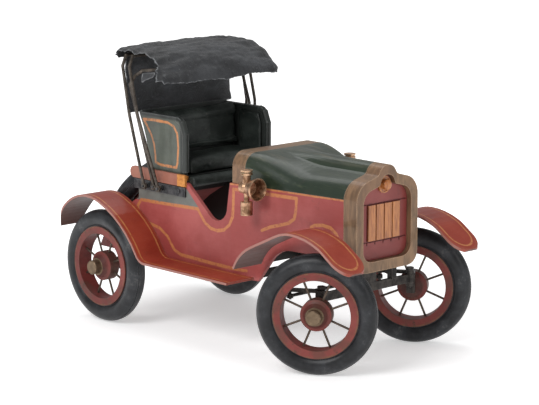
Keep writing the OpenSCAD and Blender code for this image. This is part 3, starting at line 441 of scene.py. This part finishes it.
def make_hood_green():
    """Dark green hood, rubbed pale on its ridges."""
    material, tree, shader = new_material("dark green hood paint")
    here = place_of(tree)
    paint = use(tree, old_paint, {"Paint": (0.008, 0.018, 0.009, 1), "Faded": (0.021, 0.034, 0.018, 1),
                                  "Bare": (0.10, 0.10, 0.09, 1), "Wear": 0.42, "Gloss": 0.30})
    rub = speckle(tree, stretched(tree, here, (10, 60, 60)), 1.0, 6, 0.65)
    z = parts_of(tree, here)[2]
    high = step_up(tree, z, at(0, 0, 404).z, at(0, 0, 423).z)
    rubbed = calc(tree, "MULTIPLY", step_up(tree, rub, 0.48, 0.66), calc(tree, "MULTIPLY", high, 0.55))
    colour = mixed(tree, rubbed, paint["Color"], (0.105, 0.090, 0.055, 1))
    streak = speckle(tree, stretched(tree, here, (14, 150, 90)), 1.0, 7, 0.7)
    colour = mixed(tree, calc(tree, "MULTIPLY", step_up(tree, streak, 0.50, 0.72), 0.5), colour, (0.055, 0.070, 0.036, 1))
    finish_with(tree, shader, colour, paint["Roughness"], paint["Height"], 0.0003)
    shader.inputs["Coat Weight"].default_value = 0.28
    shader.inputs["Coat Roughness"].default_value = 0.18
    return material


def make_bronzed_wood(name, stretch):
    """Brown bronzed wood of the cowl and the radiator, with streaks along it and rubbed edges."""
    material, tree, shader = new_material(name)
    grain = use(tree, streaky_grain, {"Light": (0.255, 0.152, 0.082, 1), "Dark": (0.125, 0.076, 0.043, 1), "Stretch": stretch})
    edges = use(tree, edge_wear, {"Reach": 0.0035, "Amount": 0.7, "Scale": 50.0})["Mask"]
    cloud = speckle(tree, place_of(tree), 14.0, 4)
    colour = mixed(tree, calc(tree, "MULTIPLY", step_up(tree, cloud, 0.4, 0.7), 0.4), grain["Color"], (0.16, 0.075, 0.045, 1))
    colour = mixed(tree, calc(tree, "MULTIPLY", edges, 0.7), colour, (0.42, 0.29, 0.18, 1))
    rough = calc(tree, "MULTIPLY_ADD", grain["Height"], 0.3, 0.32)
    finish_with(tree, shader, colour, rough, grain["Height"], 0.0006, 0.25)
    shader.inputs["Coat Weight"].default_value = 0.2
    return material


def make_amber():
    """Amber bars with a dark streaky glaze."""
    material, tree, shader = new_material("amber glaze")
    grain = use(tree, streaky_grain, {"Light": (0.50, 0.19, 0.055, 1), "Dark": (0.27, 0.085, 0.026, 1),
                                      "Stretch": (40, 130, 14)})
    edges = use(tree, edge_wear, {"Reach": 0.002, "Amount": 0.9, "Scale": 60.0})["Mask"]
    colour = mixed(tree, calc(tree, "MULTIPLY", edges, 0.6), grain["Color"], (0.16, 0.06, 0.03, 1))
    finish_with(tree, shader, colour, 0.38, grain["Height"], 0.0005)
    shader.inputs["Coat Weight"].default_value = 0.4
    return material


def make_seat_green():
    """Grey-green tub with an orange loop on its sides, dark rolled edges and a black inside."""
    material, tree, shader = new_material("grey-green seat paint")
    here = place_of(tree)
    x, y, z = parts_of(tree, here)
    paint = use(tree, old_paint, {"Paint": (0.052, 0.058, 0.048, 1), "Faded": (0.110, 0.124, 0.101, 1),
                                  "Bare": (0.03, 0.03, 0.028, 1), "Wear": 0.4, "Gloss": 0.34})
    loop = side_line((64, 460), (100, 462), (145, 461), (166, 455), (178, 440), (181, 410), (178, 375), (174, 364),
                     (120, 364), (104, 368), (103, 385), (99, 408), (90, 428), (76, 446), (64, 460))
    nearest = strokes(tree, side_view(tree, here), loop)
    mask = use(tree, painted_line, {"Distance": nearest, "Width": 0.0055})["Mask"]
    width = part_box("seat_tub")[1].y
    outer = step_up(tree, calc(tree, "ABSOLUTE", y), width - 0.0095, width - 0.0075)
    colour = mixed(tree, calc(tree, "MULTIPLY", mask, outer), paint["Color"], (0.50, 0.20, 0.075, 1))
    roll = step_up(tree, x, at(184, 0, 0).x, at(190, 0, 0).x)
    top = step_up(tree, z, at(0, 0, 465).z, at(0, 0, 471).z)
    dark = calc(tree, "MAXIMUM", calc(tree, "MAXIMUM", roll, top), calc(tree, "SUBTRACT", 1.0, outer))
    rub = use(tree, edge_wear, {"Reach": 0.006, "Amount": 0.75, "Scale": 45.0})["Mask"]
    black = mixed(tree, speckle(tree, here, 30.0, 6), (0.010, 0.012, 0.011, 1), (0.035, 0.040, 0.036, 1))
    black = mixed(tree, calc(tree, "MULTIPLY", rub, 0.5), black, (0.16, 0.17, 0.17, 1))
    colour = mixed(tree, dark, colour, black)
    finish_with(tree, shader, colour, paint["Roughness"], paint["Height"], 0.0003)
    shader.inputs["Coat Weight"].default_value = 0.2
    return material


def make_rail_salmon():
    """Salmon painted seat rails with an orange block at their front ends."""
    material, tree, shader = new_material("salmon rail paint")
    here = place_of(tree)
    x, y, z = parts_of(tree, here)
    paint = use(tree, old_paint, {"Paint": (0.25, 0.085, 0.055, 1), "Faded": (0.36, 0.155, 0.11, 1),
                                  "Bare": (0.18, 0.07, 0.05, 1), "Wear": 0.5, "Gloss": 0.42})
    end = step_up(tree, x, at(186, 0, 0).x, at(187, 0, 0).x)
    grain = use(tree, streaky_grain, {"Light": (0.62, 0.27, 0.06, 1), "Dark": (0.38, 0.13, 0.03, 1), "Stretch": (60, 60, 160)})
    outer = step_up(tree, calc(tree, "ABSOLUTE", y), 0.118, 0.119)
    front = mixed(tree, outer, (0.018, 0.020, 0.018, 1), grain["Color"])
    colour = mixed(tree, end, paint["Color"], front)
    finish_with(tree, shader, colour, paint["Roughness"], paint["Height"], 0.0004)
    return material


def make_leather():
    """Black-green painted leathercloth, cracked and rubbed."""
    material, tree, shader = new_material("black-green leathercloth")
    here = place_of(tree)
    cells = put(tree, "ShaderNodeTexVoronoi", {"Vector": here, "Scale": 420.0}, feature="DISTANCE_TO_EDGE").outputs[0]
    crease = step_up(tree, cells, 0.0, 0.12)
    cloud = speckle(tree, here, 18.0, 7, 0.65)
    colour = mixed(tree, step_up(tree, cloud, 0.4, 0.68), (0.010, 0.014, 0.012, 1), (0.040, 0.048, 0.043, 1))
    flecks = step_up(tree, speckle(tree, here, 160.0, 3), 0.66, 0.72)
    colour = mixed(tree, calc(tree, "MULTIPLY", flecks, 0.35), colour, (0.14, 0.12, 0.10, 1))
    rub = use(tree, edge_wear, {"Reach": 0.004, "Amount": 0.8, "Scale": 55.0})["Mask"]
    colour = mixed(tree, calc(tree, "MULTIPLY", rub, 0.45), colour, (0.15, 0.16, 0.15, 1))
    rough = calc(tree, "MULTIPLY_ADD", cloud, 0.3, 0.34)
    finish_with(tree, shader, colour, rough, crease, 0.0002)
    shader.inputs["Coat Weight"].default_value = 0.12
    return material


def make_canvas():
    """Charcoal waxed canvas: plain weave, rubbed pale along the creases with a painted highlight on the fold ridges,
    dusty in patches.
    """
    material, tree, shader = new_material("charcoal canvas")
    here = place_of(tree)
    cloud = speckle(tree, here, 11.0, 7, 0.65, 0.3)
    smear = speckle(tree, stretched(tree, here, (30, 9, 30), (0, 0, 0.25)), 1.0, 6, 0.65)
    colour = mixed(tree, step_up(tree, cloud, 0.36, 0.68), (0.013, 0.0135, 0.015, 1), (0.038, 0.040, 0.044, 1))
    colour = mixed(tree, calc(tree, "MULTIPLY", step_up(tree, smear, 0.50, 0.70), 0.5), colour, (0.085, 0.090, 0.098, 1))
    warp = put(tree, "ShaderNodeTexWave", {"Vector": here, "Scale": 420.0, "Distortion": 0.6}, bands_direction="X").outputs[1]
    weft = put(tree, "ShaderNodeTexWave", {"Vector": here, "Scale": 420.0, "Distortion": 0.6}, bands_direction="Y").outputs[1]
    weave = calc(tree, "MULTIPLY", warp, weft)
    # Painted highlight mixed with wear: convex fold ridges are turned pale grey.
    ridge_wear_and_highlight = put(tree, "ShaderNodeNewGeometry").outputs["Pointiness"]
    crease = calc(tree, "MULTIPLY", step_up(tree, ridge_wear_and_highlight, 0.507, 0.54), step_up(tree, speckle(tree, here, 70.0, 6, 0.7), 0.4, 0.6))
    colour = mixed(tree, calc(tree, "MULTIPLY", crease, 0.75), colour, (0.22, 0.23, 0.24, 1))
    flecks = step_up(tree, speckle(tree, here, 210.0, 2), 0.68, 0.74)
    colour = mixed(tree, calc(tree, "MULTIPLY", flecks, 0.35), colour, (0.25, 0.25, 0.26, 1))
    rough = calc(tree, "MULTIPLY_ADD", cloud, 0.25, 0.42)
    height = calc(tree, "ADD", calc(tree, "MULTIPLY", weave, 0.25), calc(tree, "MULTIPLY", speckle(tree, here, 60.0, 6), 0.8))
    finish_with(tree, shader, colour, rough, height, 0.0009)
    shader.inputs["Sheen Weight"].default_value = 0.08
    return material


def make_rubber():
    """Old dark rubber, slightly blue, dusty in its grooves and scuffed on the tread."""
    material, tree, shader = new_material("old tyre rubber")
    here = place_of(tree)
    cloud = speckle(tree, here, 22.0, 7, 0.65)
    fine = speckle(tree, here, 180.0, 5, 0.6)
    colour = mixed(tree, step_up(tree, cloud, 0.36, 0.68), (0.011, 0.0115, 0.013, 1), (0.031, 0.033, 0.037, 1))
    dust = step_up(tree, calc(tree, "ADD", calc(tree, "MULTIPLY", fine, 0.4), calc(tree, "MULTIPLY", cloud, 0.6)), 0.54, 0.68)
    colour = mixed(tree, calc(tree, "MULTIPLY", dust, 0.35), colour, (0.14, 0.135, 0.13, 1))
    rub = use(tree, edge_wear, {"Reach": 0.002, "Amount": 0.6, "Scale": 60.0})["Mask"]
    colour = mixed(tree, calc(tree, "MULTIPLY", rub, 0.4), colour, (0.16, 0.165, 0.17, 1))
    rough = calc(tree, "MULTIPLY_ADD", cloud, 0.35, 0.22)
    finish_with(tree, shader, colour, rough, fine, 0.0003)
    return material


def wheel_place(centre, axis):
    """Location and rotation that bring a wheel to the origin with its axle along Z."""
    turn = Vector(axis).normalized().rotation_difference(Vector((0, 0, 1))).to_matrix()
    moved = -(turn @ Vector(centre))
    return tuple(moved), tuple(turn.to_euler())


def make_wheel_paint(name, centre, axis):
    """Dark red rim and hub with bare wire spokes and a brass nut."""
    material, tree, shader = new_material(name)
    shift, turn = wheel_place(centre, axis)
    local = stretched(tree, place_of(tree), (1, 1, 1), turn, shift)
    x, y, z = parts_of(tree, local)
    flat = put(tree, "ShaderNodeVectorMath", {0: local, 1: (1, 1, 0)}, operation="MULTIPLY").outputs[0]
    radius = put(tree, "ShaderNodeVectorMath", {0: flat}, operation="LENGTH").outputs["Value"]
    out = calc(tree, "ABSOLUTE", z)
    paint = use(tree, old_paint, {"Paint": (0.125, 0.022, 0.018, 1), "Faded": (0.23, 0.050, 0.042, 1),
                                  "Bare": (0.060, 0.036, 0.026, 1), "Wear": 0.80, "Gloss": 0.40})
    wire = mixed(tree, speckle(tree, place_of(tree), 120.0, 5), (0.045, 0.035, 0.028, 1), (0.17, 0.125, 0.095, 1))
    brass = mixed(tree, speckle(tree, place_of(tree), 90.0, 5), (0.035, 0.022, 0.014, 1), (0.32, 0.23, 0.15, 1))
    spokes = calc(tree, "MULTIPLY", step_up(tree, radius, 0.0325, 0.0335),
                  calc(tree, "SUBTRACT", 1.0, step_up(tree, radius, 0.0725, 0.0735)))
    cap = calc(tree, "MULTIPLY", step_up(tree, out, 0.0245, 0.0255), calc(tree, "SUBTRACT", 1.0, step_up(tree, radius, 0.020, 0.021)))
    grime = calc(tree, "SUBTRACT", 1.0, step_up(tree, radius, 0.020, 0.034))
    colour = mixed(tree, calc(tree, "MULTIPLY", grime, 0.75), paint["Color"], (0.050, 0.020, 0.016, 1))
    lip = step_up(tree, calc(tree, "ABSOLUTE", calc(tree, "SUBTRACT", radius, 0.0885)), 0.0005, 0.0035, 1.0, 0.0)
    rust = calc(tree, "MULTIPLY", lip, step_up(tree, speckle(tree, place_of(tree), 60.0, 7, 0.7), 0.42, 0.6))
    colour = mixed(tree, calc(tree, "MULTIPLY", rust, 0.8), colour, (0.16, 0.075, 0.040, 1))
    patch = step_up(tree, speckle(tree, place_of(tree), 24.0, 7, 0.65), 0.47, 0.62)
    colour = mixed(tree, calc(tree, "MULTIPLY", patch, 0.55), colour, (0.085, 0.042, 0.030, 1))
    colour = mixed(tree, cap, mixed(tree, spokes, colour, wire), brass)
    metal = calc(tree, "MAXIMUM", calc(tree, "MULTIPLY", spokes, 0.7), calc(tree, "MULTIPLY", cap, 0.85))
    finish_with(tree, shader, colour, paint["Roughness"], paint["Height"], 0.0003, metal)
    return material


def make_metal(name, dark, light, rough=0.4, metal=0.8, scale=60.0):
    """Bare or oiled metal with cloudy tarnish and bright edges."""
    material, tree, shader = new_material(name)
    here = place_of(tree)
    cloud = speckle(tree, here, scale, 7, 0.65)
    colour = mixed(tree, step_up(tree, cloud, 0.36, 0.66), (*dark, 1), (*light, 1))
    rub = use(tree, edge_wear, {"Reach": 0.0015, "Amount": 0.7, "Scale": 90.0})["Mask"]
    bright = tuple(min(1.0, c * 2.2 + 0.03) for c in light)
    colour = mixed(tree, calc(tree, "MULTIPLY", rub, 0.6), colour, (*bright, 1))
    finish_with(tree, shader, colour, calc(tree, "MULTIPLY_ADD", cloud, 0.3, rough - 0.12), cloud, 0.0003, metal)
    return material


def dress(material, *names):
    """Gives CAD nodes their material."""
    for name in names:
        data = nodes[name].data
        data.materials.clear()
        data.materials.append(material)


def dress_frame():
    """Materials of all the CAD pieces that stay in view."""
    body_red = make_body_red()
    dress(body_red, "body_side_right", "body_side_left")
    dress(make_tail_red(), "tail_deck")
    dress(make_plain_paint("black floor paint", (0.012, 0.010, 0.009), (0.030, 0.024, 0.021), (0.06, 0.04, 0.03), 0.45, 0.5, 0.05),
          "chassis_frame")
    dress(make_plain_paint("radiator red", (0.185, 0.030, 0.026), (0.27, 0.062, 0.055), (0.06, 0.02, 0.02), 0.45, 0.4),
          "radiator_panel")
    for side, sign in (("right", -1), ("left", 1)):
        low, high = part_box("rear_fender_" + side)
        middle = (low.y + high.y) / 2
        dress(make_fender_red("rear fender red " + side, low.x + 0.040, high.x + 0.3, middle), "rear_fender_" + side)
        low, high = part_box("front_fender_" + side)
        dress(make_fender_red("front fender red " + side, low.x - 0.3, high.x - 0.040, middle), "front_fender_" + side)
    dress(make_hood_green(), "hood")
    dress(make_bronzed_wood("bronzed cowl wood", (110, 12, 60)), "cowl_band_top")
    dress(make_bronzed_wood("bronzed radiator wood", (110, 40, 12)), "radiator_shell")
    dress(make_amber(), "grille_bars", "radiator_badge")
    dress(make_seat_green(), "seat_tub")
    dress(make_rail_salmon(), "seat_base")
    dress(make_rubber(), *[n for n in nodes if "_tyre" in n])
    spare_axis = (-math.sin(math.radians(46)), 0, math.cos(math.radians(46)))
    wheels = {"rear": ((REAR_AXLE, 0, JOINT_AT["drive_spin"].z), (0, 1, 0)),
              "front": None, "spare": (tuple(at(-24, 0, 280)), spare_axis)}
    spin = next(j["axis"] for j in frame["joints"] if j["name"] == "front_right_spin")
    for side in ("right", "left"):
        low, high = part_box("rear_rim_" + side)
        centre = (low + high) / 2
        dress(make_wheel_paint("rear wheel red " + side, centre, (0, 1, 0)), "rear_rim_" + side, "rear_hub_" + side)
        dress(make_wheel_paint("front wheel red " + side, JOINT_AT[f"front_{side}_spin"], spin),
              "front_rim_" + side, "front_hub_" + side)
    dress(make_wheel_paint("spare wheel red", wheels["spare"][0], spare_axis), "spare_rim", "spare_hub")
    iron = make_metal("oiled iron", (0.018, 0.016, 0.015), (0.070, 0.062, 0.055), 0.45, 0.6)
    dress(iron, "fender_stays", "front_axle", "kingpins", "knuckle_right", "knuckle_left", "tie_rod", "steering_column",
          "rear_axle", "axle_bearings", "pedal_shaft", "pedal_right", "pedal_left", "push_rod_right", "push_rod_left",
          "spare_carrier")
    dress(make_metal("blued plate", (0.022, 0.023, 0.025), (0.085, 0.085, 0.088), 0.4, 0.55), "bow_plates")
    dress(make_metal("brown bow paint", (0.035, 0.028, 0.022), (0.105, 0.088, 0.072), 0.42, 0.25, 90.0),
          "rear_bow", "middle_bow", "front_bow")
    dress(make_metal("tarnished brass", (0.16, 0.085, 0.045), (0.62, 0.38, 0.24), 0.34, 0.85, 70.0), "lamp_right", "lamp_left")
    dark_wood = make_bronzed_wood("dark wheel wood", (60, 60, 60))
    dress(dark_wood, "steering_wheel", "column_brackets")


# ---------------------------------------------------------------- canvas roof and curtain

ROOF = [(19, 598), (20, 606), (23, 615), (29, 622), (42, 626), (60, 628), (84, 627), (104, 623), (124, 615),
        (142, 605), (158, 592), (171, 578), (181, 566), (185, 556)]


def along(points, share):
    """The point at a share of the length of a line, with rounded corners."""
    lengths = [math.dist(a, b) for a, b in zip(points, points[1:])]
    want = share * sum(lengths)
    for k, length in enumerate(lengths):
        if want <= length or k == len(lengths) - 1:
            t = want / length
            p = [points[max(k - 1, 0)], points[k], points[k + 1], points[min(k + 2, len(points) - 1)]]
            return [0.5 * (2 * p[1][i] + (p[2][i] - p[0][i]) * t + (2 * p[0][i] - 5 * p[1][i] + 4 * p[2][i] - p[3][i]) * t * t
                           + (3 * p[1][i] - p[0][i] - 3 * p[2][i] + p[3][i]) * t ** 3) for i in (0, 1)]
        want -= length


def smooth(value):
    value = max(0.0, min(1.0, value))
    return value * value * (3 - 2 * value)


def crease(x, y, seed, size):
    """Soft random folds of the cloth, in millimetres."""
    return noise.fractal(Vector((x / size, y / size, seed)), 0.9, 2.1, 4)


EDGE = 158.0
BEND = 26.0
ARC = BEND * math.pi / 2


def reach_at(share):
    """How far the cloth reaches from its middle, measured along the cloth: long at the sides, round at the corners."""
    front = smooth((share - 0.70) / 0.30)
    back = 1 - smooth(share / 0.16)
    return EDGE + ARC + 20.0 - 48.0 * front - 58.0 * back


def roof_point(share, across):
    """A point of the roof canvas, in millimetres; across runs along the cloth from its middle."""
    x, z = along(ROOF, share)
    side = 1 if across > 0 else -1
    reach = abs(across)
    y = min(reach, EDGE)
    top = smooth((share - 0.10) / 0.12) * (1 - smooth((share - 0.74) / 0.20))
    crown = 7.0 * (y / EDGE) ** 2.2 * (0.4 + 0.6 * top)
    hang = max(0.0, reach - EDGE)
    turn = min(hang / BEND, math.pi / 2)
    y += BEND * math.sin(turn)
    drop = BEND * (1 - math.cos(turn)) + max(0.0, hang - ARC)
    valance = smooth((share - 0.78) / 0.22)
    tail = 1 - smooth(share / 0.14)
    sag = 1.8 * (1 - math.cos((x - 46) / 80 * 2 * math.pi)) if 46 < x < 126 else 0.0
    sag *= 1 - (y / 190) ** 4
    folds = 4.4 * crease(x * 2.2, y * 0.35 * side, 3.1, 40) + 2.2 * crease(x, y * side, 7.7, 15)
    pull = 2.2 * math.sin((x * 1.3 + y * 0.30 * side + 14) / 7.5) * smooth((y - 60) / 100) * top
    z += min(folds + pull, 3.2) - sag - crown - drop * (1 - 0.35 * tail)
    z -= 4.5 * valance * (1 - (y / 200) ** 2) + 2.4 * valance * math.sin(y * side / 21.0 + 0.6)
    x += valance * (2.6 * crease(z, y * side, 5.3, 26) - 3.0 * (y / 184) ** 4)
    ripple = 2.2 * math.sin(x / 8.5 + 1.3 * side) * smooth((hang - 12) / 34)
    y = side * (y + ripple + (1.2 * crease(x, z, 9.1, 20) - 0.8) * smooth(hang / 12))
    return x, y, z


def cloth_grid(name, rows, columns, place):
    """One continuous sheet of quads; place gives each corner in millimetres, or None where the cloth is torn away."""
    bpy.ops.object.select_all(action="DESELECT")
    bpy.ops.mesh.primitive_grid_add(x_subdivisions=columns, y_subdivisions=rows, size=1, location=(0, 0, 0))
    sheet = bpy.context.active_object
    sheet.name = name
    bpy.ops.object.mode_set(mode="EDIT")
    bpy.ops.mesh.select_all(action="DESELECT")
    bpy.ops.object.mode_set(mode="OBJECT")
    for corner in sheet.data.vertices:
        spot = place(corner.co.y + 0.5, corner.co.x + 0.5)
        corner.select = spot is None
        if spot:
            corner.co = at(*spot)
    bpy.ops.object.mode_set(mode="EDIT")
    bpy.ops.mesh.delete(type="VERT")
    bpy.ops.mesh.select_all(action="SELECT")
    bpy.ops.mesh.normals_make_consistent(inside=False)
    bpy.ops.object.mode_set(mode="OBJECT")
    return sheet


def apply_all(obj):
    """Applies every modifier of an object in turn."""
    select_only(obj)
    for modifier in list(obj.modifiers):
        bpy.ops.object.modifier_apply(modifier=modifier.name)


def thicken(obj, thickness, levels=1):
    """Gives a sheet its thickness and rounds it."""
    if levels:
        soft = obj.modifiers.new("soften", "SUBSURF")
        soft.levels = soft.render_levels = levels
    wall = obj.modifiers.new("cloth", "SOLIDIFY")
    wall.thickness = thickness * MM
    wall.offset = 0
    apply_all(obj)
    select_only(obj)
    bpy.ops.object.shade_smooth()


def torn(x, side, hang):
    """Whether the canvas is torn away here, along the right side behind the front bow."""
    if side > 0 or x > 168:
        return False
    ragged = 5.0 * noise.noise(Vector((x / 7, hang / 11, 2.2))) + 2.5 * noise.noise(Vector((x / 2.6, hang / 3, 6.1)))
    limit = 19 - 14 * smooth((x - 84) / 30) + 26 * smooth((x - 150) / 18)
    return hang > limit + ragged


def make_roof(canvas):
    widest = EDGE + ARC + 20.0

    def place(i, j):
        across = (2 * j - 1) * reach_at(i)
        x, y, z = roof_point(i, across)
        if torn(along(ROOF, i)[0], across, abs(across) - EDGE):
            return None
        return x, y, z
    roof = cloth_grid("canvas_roof", 60, 150, place)
    roof.data.materials.append(canvas)
    area = sum(p.area for p in roof.data.polygons)
    thicken(roof, 1.3)
    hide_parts("canopy")
    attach(roof, "rear_bow")
    length = 0.0
    last = roof_point(0, 0)
    for k in range(1, 200):
        here = roof_point(k / 199, 0)
        length += math.dist(last, here)
        last = here
    flat = (2 * widest * MM, length * MM)
    return area, flat


def make_torn_strip(canvas):
    """The narrow strip of canvas that hangs from the front end of the tear."""
    def place(i, j):
        x = 169 - 43 * j + i * (10.5 * j - 6) + 2.0 * noise.noise(Vector((i * 3, j * 3, 4.0)))
        z = 579 - 6.3 * j - i * (10 + 9 * j) + 2.5 * noise.noise(Vector((j * 4, i * 2, 8.0)))
        return x, -182.5 - 2.0 * i + 3.0 * math.sin(3 * j + 2 * i), z
    strip = cloth_grid("torn_canvas_strip", 10, 10, place)
    strip.data.materials.append(canvas)
    thicken(strip, 1.2)
    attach(strip, "rear_bow")


def make_curtain(canvas):
    half = 154.0

    def place(i, j):
        y = (2 * j - 1) * half
        z = 604 - i * 130
        x = 33 + i * 9 + 2.4 * math.sin(y / 17.0 + 0.8 * math.sin(i * 3)) * (0.3 + 0.7 * i) \
            + 2.2 * crease(y, z, 4.4, 38)
        edge = 3.0 * crease(y, z, 8.8, 22) * smooth((abs(y) - 140) / 14)
        ragged = 1.5 * crease(y, 0, 6.6, 16) * smooth((i - 0.9) / 0.1)
        return max(29.5, min(44.5, x)), y + edge, z + ragged
    curtain = cloth_grid("rear_curtain", 28, 60, place)
    area = sum(p.area for p in curtain.data.polygons)
    curtain.data.materials.append(canvas)
    thicken(curtain, 1.2)
    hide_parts("back_curtain")
    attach(curtain, "rear_bow")
    flat = (2 * half * MM * 1.02, 0.1285 * 1.03)
    return area, flat


# ---------------------------------------------------------------- padded seat

def puffed(node, name, shrink, cap, voxel, material):
    """A stuffed piece that starts a little smaller than its CAD solid and swells by cloth pressure."""
    source = nodes[node]
    data = source.data.copy()
    obj = bpy.data.objects.new(name, data)
    scene.collection.objects.link(obj)
    select_only(obj)
    bpy.ops.object.mode_set(mode="EDIT")
    bpy.ops.mesh.select_all(action="SELECT")
    bpy.ops.mesh.remove_doubles(threshold=0.00005)
    bpy.ops.mesh.normals_make_consistent(inside=False)
    bpy.ops.transform.shrink_fatten(value=-shrink * MM)
    bpy.ops.object.mode_set(mode="OBJECT")
    obj.data.remesh_voxel_size = voxel * MM
    bpy.ops.object.voxel_remesh()
    smoother = obj.modifiers.new("round", "SMOOTH")
    smoother.iterations = 4
    smoother.factor = 0.5
    apply_all(obj)
    rest = [v.co.copy() for v in obj.data.vertices]
    cloth = obj.modifiers.new("swell", "CLOTH")
    cloth.settings.quality = 5
    cloth.settings.mass = 0.2
    cloth.settings.use_pressure = True
    cloth.settings.uniform_pressure_force = 4
    cloth.settings.effector_weights.gravity = 0
    cloth.settings.tension_stiffness = 12
    cloth.settings.compression_stiffness = 12
    cloth.settings.bending_stiffness = 0.4
    cloth.point_cache.frame_start = 1
    cloth.point_cache.frame_end = 20
    for step in range(1, 21):
        scene.frame_set(step)
    apply_all(obj)
    scene.frame_set(1)
    for vertex, before in zip(obj.data.vertices, rest):
        move = vertex.co - before
        if move.length > cap * MM:
            vertex.co = before + move.normalized() * cap * MM
    soft = obj.modifiers.new("soften", "SUBSURF")
    soft.levels = soft.render_levels = 1
    apply_all(obj)
    obj.data.materials.clear()
    obj.data.materials.append(material)
    select_only(obj)
    bpy.ops.object.shade_smooth()
    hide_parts(node)
    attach(obj, "car")
    return obj


add_camera()
add_studio()
dress_frame()
charcoal = make_canvas()
leather = make_leather()
roof_facts = make_roof(charcoal)
make_torn_strip(charcoal)
curtain_facts = make_curtain(charcoal)
puffed("seat_cushion", "seat_cushion_pad", 3.0, 5, 4.5, leather)
puffed("back_pad", "back_rest_pad", 2.0, 4, 4.0, leather)
puffed("arm_pads", "arm_rest_pads", 1.2, 2.0, 3.0, leather)
puffed("seat_roll", "front_seat_roll", 1.0, 2.0, 4.0, leather)
